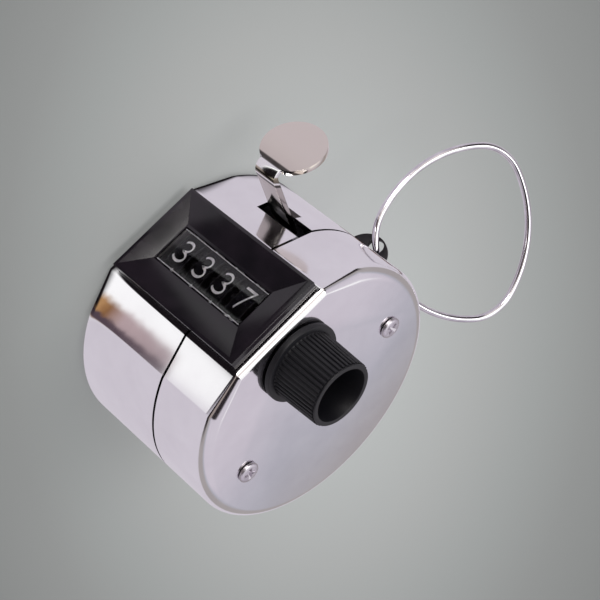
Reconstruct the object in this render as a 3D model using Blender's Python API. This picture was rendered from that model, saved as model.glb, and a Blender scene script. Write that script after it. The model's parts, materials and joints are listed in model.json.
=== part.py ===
"""Hand tally counter: a drum case with a window, a thumb lever, a reset knob and a finger ring.

Frame: the origin is the middle of the flat rear face and +Z runs along the drum axis to the knob.
A place is given as (up, out, along): up is the way the digits stand, out is the way the window
faces, along is the distance from the rear face. In world axes these are -X, -Y and +Z.
"""
import math

import bmesh
import bpy
from mathutils import Vector

MM = 0.001

# Fits
SEAT_GAP = 0.3 * MM
SLIDE_GAP = 0.5 * MM

# Case cups
CASE_RADIUS = 22.5 * MM
REAR_DEPTH = 18.2 * MM
FRONT_DEPTH = 11.34 * MM
CASE_DEPTH = REAR_DEPTH + FRONT_DEPTH
CASE_WALL = 0.8 * MM
FRONT_INNER = CASE_DEPTH - CASE_WALL
FACE_FILLET = 2.06 * MM
FILLET_STEPS = 4
PLATFORM_FILLET = 1.0 * MM
PLATFORM_DROP = 2.2 * MM
PLATFORM_OUT = CASE_RADIUS - PLATFORM_DROP
PLATFORM_HALF_WIDTH = 8.7 * MM
PLATFORM_CORNER = 1.2 * MM
CREASE_ANGLE = math.radians(42.5)
LIP_HEIGHT = 2.0 * MM
LIP_WALL = 0.6 * MM
CASE_STEPS = 38

# Frame plates and their posts
PLATE_THICKNESS = 1.0 * MM
REAR_PLATE_START = 2 * CASE_WALL
REAR_PLATE_END = REAR_PLATE_START + PLATE_THICKNESS
FRONT_PLATE_SETBACK = 3.24 * MM
FRONT_PLATE_START = CASE_DEPTH - FRONT_PLATE_SETBACK
FRONT_PLATE_END = FRONT_PLATE_START + PLATE_THICKNESS
PLATE_INSET = CASE_WALL + SEAT_GAP
POST_INSET = 7.25 * MM
POST_UP = CASE_RADIUS - POST_INSET
POST_OUT = 0.1 * MM
POST_RADIUS = 2.4 * MM
SIDES = ((-1, "low"), (1, "high"))
TENON_RADIUS = 1.8 * MM
BUSH_RADIUS = 2.8 * MM
BUSH_FLANGE_RADIUS = 3.8 * MM

# Case screws
SCREW_RADIUS = 0.9 * MM
SCREW_HOLE_RADIUS = SCREW_RADIUS + SEAT_GAP
SCREW_HEAD_RADIUS = 1.87 * MM
SCREW_HEAD_HEIGHT = 0.95 * MM
SCREW_HEAD_EDGE = 0.45 * MM
SCREW_HEAD_ROUND = 0.6 * MM
SCREW_GRIP = 6.0 * MM
SCREW_POINT = 0.35 * MM

# Number wheels, whose pitch fills the depth between the frame plates
WHEEL_NAMES = ("thousands", "hundreds", "tens", "units")
WHEEL_RADIUS = 7.6 * MM
TRAIN_REAR_ROOM = 3.11 * MM
TRAIN_FRONT_ROOM = 2.99 * MM
TRAIN_START = REAR_PLATE_END + TRAIN_REAR_ROOM
TRAIN_END = FRONT_PLATE_START - TRAIN_FRONT_ROOM
WHEEL_PITCH = (TRAIN_END - TRAIN_START) / len(WHEEL_NAMES)
FIRST_WHEEL = TRAIN_START + WHEEL_PITCH / 2
LAST_WHEEL = FIRST_WHEEL + WHEEL_PITCH * (len(WHEEL_NAMES) - 1)
GEAR_TEETH = 20
GEAR_PITCH_RADIUS = 6.2 * MM
GEAR_WIDTH = 0.55 * MM
TRANSFER_WIDTH = 0.35 * MM
RIM_WIDTH = WHEEL_PITCH - GEAR_WIDTH - TRANSFER_WIDTH - SEAT_GAP
TOOTH_ADDENDUM = 0.42 * MM
TOOTH_DEDENDUM = 0.56 * MM
GEAR_TIP_SHARE = 0.11
GEAR_ROOT_SHARE = 0.5

# Window bezel and lens
BEZEL_START = 1.67 * MM
BEZEL_SETBACK = 0.94 * MM
BEZEL_END = CASE_DEPTH - BEZEL_SETBACK
BEZEL_SIDE_MARGIN = 0.57 * MM
BEZEL_HALF_WIDTH = PLATFORM_HALF_WIDTH - BEZEL_SIDE_MARGIN
BEZEL_FLOOR = PLATFORM_OUT + SEAT_GAP
BEZEL_PROUD = 1.92 * MM
BEZEL_TOP = PLATFORM_OUT + BEZEL_PROUD
BEZEL_RIM = 0.5 * MM
BEZEL_END_RIM = 1.0 * MM
BEZEL_EDGE_ROUND = 0.2 * MM
FUNNEL_DEPTH = 1.1 * MM
WINDOW_START_MARGIN = 2.61 * MM
WINDOW_END_MARGIN = 2.79 * MM
WINDOW_START = FIRST_WHEEL - WINDOW_START_MARGIN
WINDOW_END = LAST_WHEEL + WINDOW_END_MARGIN
WINDOW_HALF_HEIGHT = 3.28 * MM
CASE_WINDOW_MARGIN = 1.0 * MM
LENS_GAP = 0.2 * MM
LENS_THICKNESS = 0.35 * MM
LENS_TOP = BEZEL_TOP - FUNNEL_DEPTH - LENS_GAP / 2

# Reset shaft: the wheels stand just clear of the lens
SHAFT_RADIUS = 1.5 * MM
SHAFT_OUT = LENS_TOP - LENS_THICKNESS - SEAT_GAP - WHEEL_RADIUS
SHAFT_BORE = SHAFT_RADIUS + SEAT_GAP
CLIP_RADIUS = 2.6 * MM
CLIP_THICKNESS = 0.5 * MM
CLIP_OPENING = math.radians(35)

# Transfer pinions
PINION_TEETH = 8
PINION_WIDTH = 0.9 * MM
PINION_SHAFT_RADIUS = 0.7 * MM
PINION_TIP_SHARE = 0.075
PINION_ROOT_SHARE = 0.30
PINION_PITCH_RADIUS = GEAR_PITCH_RADIUS * PINION_TEETH / GEAR_TEETH
PINION_OUT = SHAFT_OUT - GEAR_PITCH_RADIUS - PINION_PITCH_RADIUS

# Thumb lever, as a bent strip with a round paddle
LEVER_PIN_RADIUS = 0.8 * MM
LEVER_PIVOT_UP = -WHEEL_RADIUS - LEVER_PIN_RADIUS - 2 * SEAT_GAP
LEVER_PIVOT_DEPTH = 4.4 * MM
LEVER_PIVOT_OUT = PLATFORM_OUT - LEVER_PIVOT_DEPTH
LEVER_TRAVEL = math.radians(8.0)
STRIP_SETBACK = 8.2 * MM
STRIP_START = REAR_DEPTH - STRIP_SETBACK
STRIP_WIDTH = 4.0 * MM
STRIP_MIDDLE = STRIP_START + STRIP_WIDTH / 2
STRIP_THICKNESS = 0.9 * MM
STRIP_FOOT_INSET = 8.35 * MM
STRIP_FOOT_UP = CASE_RADIUS - STRIP_FOOT_INSET
STRIP_FOOT_DEPTH = 7.9 * MM
STRIP_FOOT_OUT = PLATFORM_OUT - STRIP_FOOT_DEPTH
STRIP_TILT = math.radians(4.1)
STRIP_RISE = 13.5 * MM
BEND_RADIUS = 0.85 * MM
BEND_STEPS = 6
PADDLE_TILT = math.radians(12.5)
PADDLE_RADIUS = 5.0 * MM
PADDLE_REACH = 4.45 * MM
PADDLE_STEPS = 14
PADDLE_END_ANGLE = 0.04
ROCKER_ARM_THICKNESS = 1.0 * MM
ROCKER_REAR_ARM = REAR_PLATE_END + CLIP_THICKNESS + SEAT_GAP + SLIDE_GAP
ROCKER_FRONT_ARM = FRONT_PLATE_START - SLIDE_GAP - ROCKER_ARM_THICKNESS
ROCKER_EYE_RADIUS = 2.2 * MM
ROCKER_ARM_HEIGHT = 2.0 * MM
ROCKER_SHAFT_CLEARANCE = 2.1 * MM
ROCKER_CROWN = 6.0 * MM
WEB_THICKNESS = 0.95 * MM
WEB_UP = STRIP_FOOT_UP - SEAT_GAP - WEB_THICKNESS
WEB_DROP = 0.2 * MM
WEB_LOW = STRIP_FOOT_OUT - WEB_DROP
WEB_HEIGHT = 2.8 * MM
WEB_HIGH = WEB_LOW + WEB_HEIGHT
SLOT_END_ROOM = 0.8 * MM
SLOT_SIDE_ROOM = 0.4 * MM
SLOT_START = STRIP_START - SLOT_END_ROOM
SLOT_STEP = STRIP_START + STRIP_WIDTH + SLOT_SIDE_ROOM
SLOT_WIDTH = 3.0 * MM

# Ratchet drive
RATCHET_TEETH = 10
RATCHET_RADIUS = 3.4 * MM
RATCHET_TOOTH_DEPTH = 0.7 * MM
RATCHET_FACE_SHARE = 0.06
RATCHET_BACK_SHARE = 0.53
RATCHET_WIDTH = 1.0 * MM
RATCHET_START = LAST_WHEEL + RIM_WIDTH / 2 + SEAT_GAP
PAWL_PIVOT_UP = 2 * RATCHET_RADIUS
PAWL_PIVOT_OUT = LEVER_PIVOT_OUT
PAWL_PIN_RADIUS = 0.5 * MM
PAWL_HEAD_RADIUS = 1.15 * MM
PAWL_NOSE_WIDTH = 0.8 * MM
LEAF_THICKNESS = 0.4 * MM
LEAF_SIDE_GAP = 0.1 * MM
DETENT_POST_RADIUS = 1.0 * MM
DETENT_POST_UP = -8.9 * MM
DETENT_POST_DROP = 7.2 * MM
DETENT_POST_OUT = SHAFT_OUT - DETENT_POST_DROP
DETENT_BOW = 0.6 * MM
PAWL_SPRING_RISE = 2.2 * MM
PAWL_NOSE_TIP = 0.1 * MM

# Lever return spring
SPRING_WIRE_RADIUS = 0.2 * MM
SPRING_TURNS = 6
SPRING_TURN_STEPS = 8
SPRING_LENGTH = 5.6 * MM
SPRING_LEG = 3.6 * MM

# Reset knob
KNOB_FLANGE_RADIUS = 6.5 * MM
KNOB_FLANGE_THICKNESS = 1.09 * MM
KNOB_BASE_RADIUS = 5.62 * MM
KNOB_TIP_RADIUS = 5.38 * MM
KNOB_LENGTH = 9.0 * MM
KNOB_BORE_RADIUS = 4.4 * MM
KNOB_FLOOR = 2.6 * MM
KNOB_RIBS = 46
KNOB_RIB_DEPTH = 0.32 * MM
KNOB_CHAMFER = 0.35 * MM
SHAFT_GRIP = 1.7 * MM

# Ring bracket with its lug
BRACKET_OUT = -5.3 * MM
BRACKET_THICKNESS = 0.8 * MM
BRACKET_INSET = 2.9 * MM
BRACKET_OUTER_UP = CASE_RADIUS - BRACKET_INSET
BRACKET_HEIGHT = 10.6 * MM
BRACKET_INNER_UP = BRACKET_OUTER_UP - BRACKET_HEIGHT
TENON_SETBACK = 2.5 * MM
TENON_UP = BRACKET_INNER_UP + TENON_SETBACK
TENON_WIDTH = 4.0 * MM
LUG_PROUD = 1.0 * MM
LUG_UP = CASE_RADIUS + LUG_PROUD
LUG_SETBACK = 4.05 * MM
LUG_ALONG = REAR_DEPTH - LUG_SETBACK
LUG_RADIUS = 3.9 * MM
LUG_HOLE_RADIUS = 1.35 * MM
LUG_STEPS = 16

# Finger ring, a wire bent to a rounded triangle of constant width
RING_PROUD = 2.22 * MM
RING_SHIFT = 0.58 * MM
RING_UP = LUG_UP + RING_PROUD
RING_ALONG = LUG_ALONG + RING_SHIFT
RING_WIRE_RADIUS = 0.575 * MM
RING_SIDE = 12.44 * MM
RING_CORNER_RADIUS = 8.2 * MM
RING_TURN = math.radians(33.1)
RING_LEAN = math.radians(18.2)
RING_SLIP = math.radians(11.9)
RING_ARC_STEPS = 9
RING_SIDES = 8

# Finishes: base colour, roughness, metallic
CHROME = ("chrome_plated_steel", (0.78, 0.76, 0.79), 0.10, 1.0)
NICKEL = ("nickel_plated_steel", (0.70, 0.66, 0.64), 0.18, 1.0)
ZINC = ("zinc_plated_steel", (0.55, 0.55, 0.54), 0.38, 1.0)
BRASS = ("turned_brass", (0.72, 0.52, 0.24), 0.30, 1.0)
BLACK_GLOSS = ("gloss_black_plastic", (0.010, 0.009, 0.011), 0.16, 0.0)
BLACK_MATT = ("matt_black_plastic", (0.012, 0.012, 0.013), 0.45, 0.0)
BLACK_STEEL = ("black_oxide_steel", (0.02, 0.02, 0.022), 0.50, 0.6)
CLEAR = ("clear_acrylic", (0.75, 0.76, 0.78), 0.05, 0.0)


def place(up, out, along):
    """World point of a place given by up, out and along."""
    return Vector((-up, -out, along))


def clear_scene():
    for old in list(bpy.data.objects):
        bpy.data.objects.remove(old, do_unlink=True)


def finish_material(finish):
    name, colour, roughness, metallic = finish
    found = bpy.data.materials.get(name)
    if found:
        return found
    made = bpy.data.materials.new(name)
    made.use_nodes = True
    shader = made.node_tree.nodes["Principled BSDF"]
    shader.inputs["Base Color"].default_value = (*colour, 1.0)
    shader.inputs["Roughness"].default_value = roughness
    shader.inputs["Metallic"].default_value = metallic
    return made


def add_piece(name, bm, finish, origin=(0.0, 0.0, 0.0), smooth_angle=35.0):
    """Turn a bmesh in world coordinates into an object whose origin lies at the given place."""
    bmesh.ops.recalc_face_normals(bm, faces=bm.faces)
    bmesh.ops.translate(bm, verts=bm.verts, vec=-Vector(origin))
    mesh = bpy.data.meshes.new(name)
    bm.to_mesh(mesh)
    bm.free()
    mesh.shade_smooth()
    mesh.set_sharp_from_angle(angle=math.radians(smooth_angle))
    mesh.materials.append(finish_material(finish))
    piece = bpy.data.objects.new(name, mesh)
    piece.location = origin
    bpy.context.scene.collection.objects.link(piece)
    return piece


def add_cutter(name, bm):
    bmesh.ops.recalc_face_normals(bm, faces=bm.faces)
    mesh = bpy.data.meshes.new(name)
    bm.to_mesh(mesh)
    bm.free()
    cutter = bpy.data.objects.new(name, mesh)
    cutter.hide_render = True
    cutter.display_type = "WIRE"
    bpy.context.scene.collection.objects.link(cutter)
    return cutter


def cut(piece, cutter):
    step = piece.modifiers.new("cut_" + cutter.name, "BOOLEAN")
    step.operation = "DIFFERENCE"
    step.object = cutter


def skin(bm, rings, capped=True):
    """Join rings of as many points each with quads, and close the ends or the round trip."""
    rows = [[bm.verts.new(point) for point in ring] for ring in rings]
    pairs = list(zip(rows, rows[1:]))
    if not capped:
        pairs.append((rows[-1], rows[0]))
    count = len(rows[0])
    for low, high in pairs:
        for i in range(count):
            j = (i + 1) % count
            bm.faces.new((low[i], low[j], high[j], high[i]))
    if capped:
        bm.faces.new(rows[0])
        bm.faces.new(list(reversed(rows[-1])))


def circle(radius, along, up=0.0, out=0.0, steps=32):
    ring = []
    for i in range(steps):
        turn = 2 * math.pi * i / steps
        ring.append(place(up + radius * math.sin(turn), out + radius * math.cos(turn), along))
    return ring


def turned(bm, profile, up=0.0, out=0.0, steps=32, bored=False):
    """Turn a profile of (radius, along) about a line parallel to the drum axis."""
    skin(bm, [circle(radius, along, up, out, steps) for radius, along in profile], capped=not bored)


def prism(bm, outline, start, end):
    """Plate with an outline of (up, out) points between two places along the drum axis."""
    skin(bm, [[place(up, out, along) for up, out in outline] for along in (start, end)])


def box_outline(up_low, up_high, out_low, out_high):
    return [(up_low, out_low), (up_high, out_low), (up_high, out_high), (up_low, out_high)]


def arc_points(up, out, radius, start, end, steps):
    """Points on an arc about (up, out); angles run from out towards up."""
    points = []
    for i in range(steps + 1):
        turn = start + (end - start) * i / steps
        points.append((up + radius * math.sin(turn), out + radius * math.cos(turn)))
    return points


def shoulder_corner(inset):
    """Where the platform meets the shoulder, and where the shoulder meets the round wall."""
    crease = Vector((CASE_RADIUS * math.sin(CREASE_ANGLE), CASE_RADIUS * math.cos(CREASE_ANGLE)))
    edge = Vector((PLATFORM_HALF_WIDTH, PLATFORM_OUT))
    run = (crease - edge).normalized()
    inward = Vector((run.y, -run.x))
    if inward.y > 0:
        inward = -inward
    start = edge + inward * inset
    level = PLATFORM_OUT - inset
    top = start + run * ((level - start.y) / run.y)
    along_run = start.dot(run)
    beyond = math.sqrt(along_run**2 - start.length_squared + (CASE_RADIUS - inset)**2)
    foot = start + run * (beyond - along_run)
    return top, foot


def case_section(inset=0.0, corner=PLATFORM_CORNER):
    """Case outline with its flat platform and straight shoulders, drawn in by the inset."""
    top, foot = shoulder_corner(inset)
    radius = CASE_RADIUS - inset
    crease = math.atan2(foot.x, foot.y)
    slope = math.atan2(top.y - foot.y, foot.x - top.x)
    corner = max(corner - inset, 0.25 * corner)
    setback = corner * math.tan(slope / 2)
    round_corner = arc_points(top.x - setback, top.y - corner, corner, 0.0, slope, 4)
    half = [(0.0, top.y), (0.5 * top.x, top.y)] + round_corner
    half.append(((top.x + foot.x) / 2, (top.y + foot.y) / 2))
    wall = arc_points(0.0, 0.0, radius, crease, 2 * math.pi - crease, CASE_STEPS)
    mirrored = [(-up, out) for up, out in reversed(half[1:])]
    return half + wall + mirrored


def edge_fillets(section):
    """Fillet at the flat face for each point: small along the platform, full on the round wall."""
    crease_out = CASE_RADIUS * math.cos(CREASE_ANGLE)
    sizes = []
    for up, out in section:
        share = min(max((out - crease_out) / (PLATFORM_OUT - crease_out), 0.0), 1.0)
        sizes.append(FACE_FILLET + (PLATFORM_FILLET - FACE_FILLET) * share)
    return sizes


def inward_normals(section):
    """For each point of a closed outline about the drum axis, the direction square to it, inward."""
    normals = []
    for i, point in enumerate(section):
        run = (Vector(section[(i + 1) % len(section)]) - Vector(section[i - 1])).normalized()
        side = Vector((-run.y, run.x))
        normals.append(side if side.dot(Vector(point)) < 0 else -side)
    return normals


def filleted_rings(inset, face, inward_sign, shrink, steps):
    """Rings that round the edge between the wall and a flat face; inward_sign points inside."""
    section = case_section(inset)
    normals = inward_normals(section)
    sizes = [max(size - shrink, PLATFORM_FILLET / 4) for size in edge_fillets(case_section(0.0))]
    rings = []
    for k in range(steps + 1):
        turn = math.pi / 2 * k / steps
        ring = []
        for (up, out), normal, size in zip(section, normals, sizes):
            shift = size * (1 - math.sin(turn))
            rise = size * (1 - math.cos(turn))
            ring.append(place(up + normal.x * shift, out + normal.y * shift, face + inward_sign * rise))
        rings.append(ring)
    return rings


def wall_ring(inset, along):
    return [place(up, out, along) for up, out in case_section(inset)]


def angle_wedge(low, high, inner, outer):
    """Outline of a wedge between two angles from out towards up."""
    return [(radius * math.sin(turn), radius * math.cos(turn))
            for radius, turn in ((inner, low), (outer, low), (outer, high), (inner, high))]


def window_cutter():
    bm = bmesh.new()
    half = WINDOW_HALF_HEIGHT + CASE_WINDOW_MARGIN
    prism(bm, box_outline(-half, half, PLATFORM_OUT - 3 * CASE_WALL, PLATFORM_OUT + CASE_WALL),
          WINDOW_START - SEAT_GAP, WINDOW_END + SEAT_GAP)
    return add_cutter("window_cutter", bm)


def wheel_room_cutter():
    """Gap in the rear cup's lip where the wheels swing past it."""
    inside = PLATFORM_OUT - CASE_WALL
    chord = math.sqrt((WHEEL_RADIUS + SEAT_GAP)**2 - (inside - SEAT_GAP - LIP_WALL - SHAFT_OUT)**2)
    bm = bmesh.new()
    prism(bm, box_outline(-chord - SEAT_GAP, chord + SEAT_GAP, SHAFT_OUT, inside),
          REAR_DEPTH - LIP_HEIGHT - 2 * CASE_WALL, REAR_DEPTH + LIP_HEIGHT + CASE_WALL)
    return add_cutter("wheel_room_cutter", bm)


def strip_crossing(offset, swing, radius):
    """Angle at which a face of the strip, swung by the lever, crosses a radius of the case."""
    lean = Vector((math.sin(STRIP_TILT + swing), math.cos(STRIP_TILT + swing)))
    pivot = Vector((LEVER_PIVOT_UP, LEVER_PIVOT_OUT))
    sideways = Vector((math.cos(STRIP_TILT), -math.sin(STRIP_TILT)))
    arm = Vector((STRIP_FOOT_UP, STRIP_FOOT_OUT)) + sideways * offset - pivot
    spot = pivot + Vector((arm.x * math.cos(swing) + arm.y * math.sin(swing),
                           arm.y * math.cos(swing) - arm.x * math.sin(swing)))
    along_lean = spot.dot(lean)
    spot += lean * (math.sqrt(along_lean**2 - spot.length_squared + radius**2) - along_lean)
    return math.atan2(spot.x, spot.y)


def lever_slot_cutters():
    """Slot open to the parting line, and the room behind the strip for its swing."""
    inner = CASE_RADIUS - 6 * CASE_WALL
    outer = CASE_RADIUS + 4 * CASE_WALL
    past_lip = REAR_DEPTH + LIP_HEIGHT + SEAT_GAP
    high = strip_crossing(STRIP_THICKNESS, 0.0, CASE_RADIUS) + SEAT_GAP / CASE_RADIUS
    low = high - SLOT_WIDTH / CASE_RADIUS
    inside = CASE_RADIUS - CASE_WALL
    swung = strip_crossing(STRIP_THICKNESS, LEVER_TRAVEL, inside) + SLIDE_GAP / inside
    narrow = bmesh.new()
    prism(narrow, angle_wedge(low, high, inner, outer), SLOT_START, past_lip)
    wide = bmesh.new()
    prism(wide, angle_wedge((low + high) / 2, swung, inner, outer), SLOT_START, SLOT_STEP)
    return add_cutter("lever_slot_cutter", narrow), add_cutter("lever_swing_cutter", wide)


def lug_slot_cutter():
    bm = bmesh.new()
    half = BRACKET_THICKNESS / 2 + SEAT_GAP
    outline = box_outline(BRACKET_OUTER_UP - 2 * CASE_WALL, CASE_RADIUS + CASE_WALL,
                          BRACKET_OUT - half, BRACKET_OUT + half)
    prism(bm, outline, LUG_ALONG - LUG_RADIUS - SEAT_GAP, REAR_DEPTH + LIP_HEIGHT + SEAT_GAP)
    return add_cutter("lug_slot_cutter", bm)


def hole_cutter(name, radius, up, out, start, end, steps=20):
    bm = bmesh.new()
    turned(bm, [(radius, start), (radius, end)], up, out, steps)
    return add_cutter(name, bm)


def make_rear_case(window, lever_slots, lug_slot):
    rim = REAR_DEPTH - SEAT_GAP / 2
    lip_outer = CASE_WALL + SEAT_GAP
    lip_inner = lip_outer + LIP_WALL
    rings = filleted_rings(0.0, 0.0, 1, 0.0, FILLET_STEPS)
    rings.append(wall_ring(0.0, rim))
    rings.append(wall_ring(lip_outer, rim))
    rings.append(wall_ring(lip_outer, rim + LIP_HEIGHT))
    rings.append(wall_ring(lip_inner, rim + LIP_HEIGHT))
    rings.append(wall_ring(lip_inner, rim - LIP_HEIGHT))
    rings.append(wall_ring(CASE_WALL, rim - LIP_HEIGHT - LIP_WALL))
    rings.extend(reversed(filleted_rings(CASE_WALL, CASE_WALL, 1, CASE_WALL, FILLET_STEPS // 2)))
    bm = bmesh.new()
    skin(bm, rings)
    case = add_piece("rear_case", bm, CHROME)
    for cutter in (window, wheel_room_cutter(), *lever_slots, lug_slot):
        cut(case, cutter)
    return case


def make_front_case(window, holes):
    rim = REAR_DEPTH + SEAT_GAP / 2
    rings = filleted_rings(0.0, CASE_DEPTH, -1, 0.0, FILLET_STEPS)
    rings.append(wall_ring(0.0, rim))
    rings.append(wall_ring(CASE_WALL, rim))
    rings.extend(reversed(filleted_rings(CASE_WALL, FRONT_INNER, -1, CASE_WALL, FILLET_STEPS // 2)))
    bm = bmesh.new()
    skin(bm, rings)
    case = add_piece("front_case", bm, CHROME)
    for cutter in (window, *holes):
        cut(case, cutter)
    return case


def rectangle(half_width, start, end, out):
    return [place(-half_width, out, start), place(half_width, out, start),
            place(half_width, out, end), place(-half_width, out, end)]


def make_bezel():
    """Frame with a thin rim and four long sloping faces down to the window."""
    rings = [
        rectangle(WINDOW_HALF_HEIGHT, WINDOW_START, WINDOW_END, BEZEL_FLOOR),
        rectangle(BEZEL_HALF_WIDTH, BEZEL_START, BEZEL_END, BEZEL_FLOOR),
        rectangle(BEZEL_HALF_WIDTH, BEZEL_START, BEZEL_END, BEZEL_TOP),
        rectangle(BEZEL_HALF_WIDTH - BEZEL_RIM, BEZEL_START + BEZEL_RIM,
                  BEZEL_END - BEZEL_END_RIM, BEZEL_TOP),
        rectangle(WINDOW_HALF_HEIGHT, WINDOW_START, WINDOW_END, BEZEL_TOP - FUNNEL_DEPTH),
    ]
    bm = bmesh.new()
    skin(bm, rings, capped=False)
    bezel = add_piece("window_bezel", bm, BLACK_GLOSS, smooth_angle=20.0)
    edge = bezel.modifiers.new("edge_round", "BEVEL")
    edge.width = BEZEL_EDGE_ROUND
    edge.segments = 2
    edge.limit_method = "ANGLE"
    edge.angle_limit = math.radians(60)
    return bezel


def make_lens():
    half = WINDOW_HALF_HEIGHT - LENS_GAP
    bm = bmesh.new()
    skin(bm, [rectangle(half, WINDOW_START + LENS_GAP, WINDOW_END - LENS_GAP, out)
              for out in (LENS_TOP - LENS_THICKNESS, LENS_TOP)])
    return add_piece("window_lens", bm, CLEAR)


def tooth_ring(teeth, pitch_radius, along, out, tip_share, root_share, phase):
    """Ring through straight-sided teeth: two tip points and two root points each."""
    ring = []
    step = 2 * math.pi / teeth
    tip = pitch_radius + TOOTH_ADDENDUM
    root = pitch_radius - TOOTH_DEDENDUM
    for k in range(teeth):
        middle = phase + step * k
        for radius, turn in ((tip, -tip_share), (tip, tip_share), (root, root_share)):
            angle = middle + step * turn
            ring.append(place(radius * math.sin(angle), out + radius * math.cos(angle), along))
        if root_share < 0.5:
            angle = middle + step * (1 - root_share)
            ring.append(place(root * math.sin(angle), out + root * math.cos(angle), along))
    return ring


def make_wheel(index):
    """Number wheel: the driven gear is on its knob side, the transfer boss on its rear side."""
    name = WHEEL_NAMES[index]
    middle = FIRST_WHEEL + WHEEL_PITCH * index
    rim_start = middle - RIM_WIDTH / 2
    rim_end = middle + RIM_WIDTH / 2
    bore = SHAFT_BORE
    steps = GEAR_TEETH * 3
    boss = GEAR_PITCH_RADIUS - TOOTH_ADDENDUM - 2 * SEAT_GAP
    rings = [circle(bore, rim_start, out=SHAFT_OUT, steps=steps)]
    if index > 0:
        rings = [circle(radius, rim_start - TRANSFER_WIDTH, out=SHAFT_OUT, steps=steps)
                 for radius in (bore, boss)]
        rings.append(circle(boss, rim_start, out=SHAFT_OUT, steps=steps))
    rings.append(circle(WHEEL_RADIUS, rim_start, out=SHAFT_OUT, steps=steps))
    rings.append(circle(WHEEL_RADIUS, rim_end, out=SHAFT_OUT, steps=steps))
    if index < len(WHEEL_NAMES) - 1:
        for along in (rim_end, rim_end + GEAR_WIDTH):
            rings.append(tooth_ring(GEAR_TEETH, GEAR_PITCH_RADIUS, along, SHAFT_OUT,
                                    GEAR_TIP_SHARE, GEAR_ROOT_SHARE, 0.0))
        rings.append(circle(bore, rim_end + GEAR_WIDTH, out=SHAFT_OUT, steps=steps))
    else:
        rings.append(circle(bore, rim_end, out=SHAFT_OUT, steps=steps))
    bm = bmesh.new()
    skin(bm, rings, capped=False)
    return add_piece(name + "_wheel", bm, BLACK_MATT, place(0.0, SHAFT_OUT, middle))


def make_pinion(index):
    """Transfer pinion in the gap between a wheel and the next lower one."""
    name = WHEEL_NAMES[index + 1]
    middle = FIRST_WHEEL + WHEEL_PITCH * (index + 0.5)
    phase = math.pi / PINION_TEETH
    bore = PINION_SHAFT_RADIUS + SEAT_GAP
    ends = (middle - PINION_WIDTH / 2, middle + PINION_WIDTH / 2)
    steps = PINION_TEETH * 4
    rings = [circle(bore, ends[0], out=PINION_OUT, steps=steps)]
    for along in ends:
        rings.append(tooth_ring(PINION_TEETH, PINION_PITCH_RADIUS, along, PINION_OUT,
                                PINION_TIP_SHARE, PINION_ROOT_SHARE, phase))
    rings.append(circle(bore, ends[1], out=PINION_OUT, steps=steps))
    bm = bmesh.new()
    skin(bm, rings, capped=False)
    return add_piece(name + "_pinion", bm, BRASS, place(0.0, PINION_OUT, middle))


def make_ratchet():
    """Ten saw teeth, one for each digit of the units wheel."""
    bore = SHAFT_BORE
    outline = []
    step = 2 * math.pi / RATCHET_TEETH
    for k in range(RATCHET_TEETH):
        for radius, share in ((RATCHET_RADIUS, 0.0),
                              (RATCHET_RADIUS - RATCHET_TOOTH_DEPTH, RATCHET_FACE_SHARE),
                              (RATCHET_RADIUS - RATCHET_TOOTH_DEPTH / 2, RATCHET_BACK_SHARE)):
            turn = step * (k + share)
            outline.append((radius * math.sin(turn), SHAFT_OUT + radius * math.cos(turn)))
    steps = len(outline)
    rings = [circle(bore, RATCHET_START, out=SHAFT_OUT, steps=steps)]
    for along in (RATCHET_START, RATCHET_START + RATCHET_WIDTH):
        rings.append([place(up, out, along) for up, out in outline])
    rings.append(circle(bore, RATCHET_START + RATCHET_WIDTH, out=SHAFT_OUT, steps=steps))
    bm = bmesh.new()
    skin(bm, rings, capped=False)
    return add_piece("ratchet_wheel", bm, ZINC, place(0.0, SHAFT_OUT, RATCHET_START))


def make_reset_shaft():
    start = REAR_PLATE_START - SEAT_GAP
    end = CASE_DEPTH + SEAT_GAP + SHAFT_GRIP
    chamfer = SHAFT_RADIUS / 6
    bm = bmesh.new()
    turned(bm, [(SHAFT_RADIUS - chamfer, start), (SHAFT_RADIUS, start + chamfer),
                (SHAFT_RADIUS, end - chamfer), (SHAFT_RADIUS - chamfer, end)], out=SHAFT_OUT)
    return add_piece("reset_shaft", bm, ZINC, place(0.0, SHAFT_OUT, start))


def make_shaft_clip():
    """Open retaining ring that holds the shaft against the rear plate."""
    start = REAR_PLATE_END + SEAT_GAP
    outline = arc_points(0.0, SHAFT_OUT, CLIP_RADIUS, CLIP_OPENING, 2 * math.pi - CLIP_OPENING, 22)
    outline += arc_points(0.0, SHAFT_OUT, SHAFT_BORE, 2 * math.pi - CLIP_OPENING, CLIP_OPENING, 16)
    bm = bmesh.new()
    prism(bm, outline, start, start + CLIP_THICKNESS)
    return add_piece("shaft_clip", bm, ZINC, place(0.0, SHAFT_OUT, start))


def ribbed_ring(radius, along):
    """Ring with fine straight knurls: one point in each groove and one on each ridge."""
    ring = []
    step = 2 * math.pi / KNOB_RIBS
    for k in range(KNOB_RIBS):
        for reach, share in ((radius - KNOB_RIB_DEPTH, 0.0), (radius, 0.5)):
            turn = step * (k + share)
            ring.append(place(reach * math.sin(turn), SHAFT_OUT + reach * math.cos(turn), along))
    return ring


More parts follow.
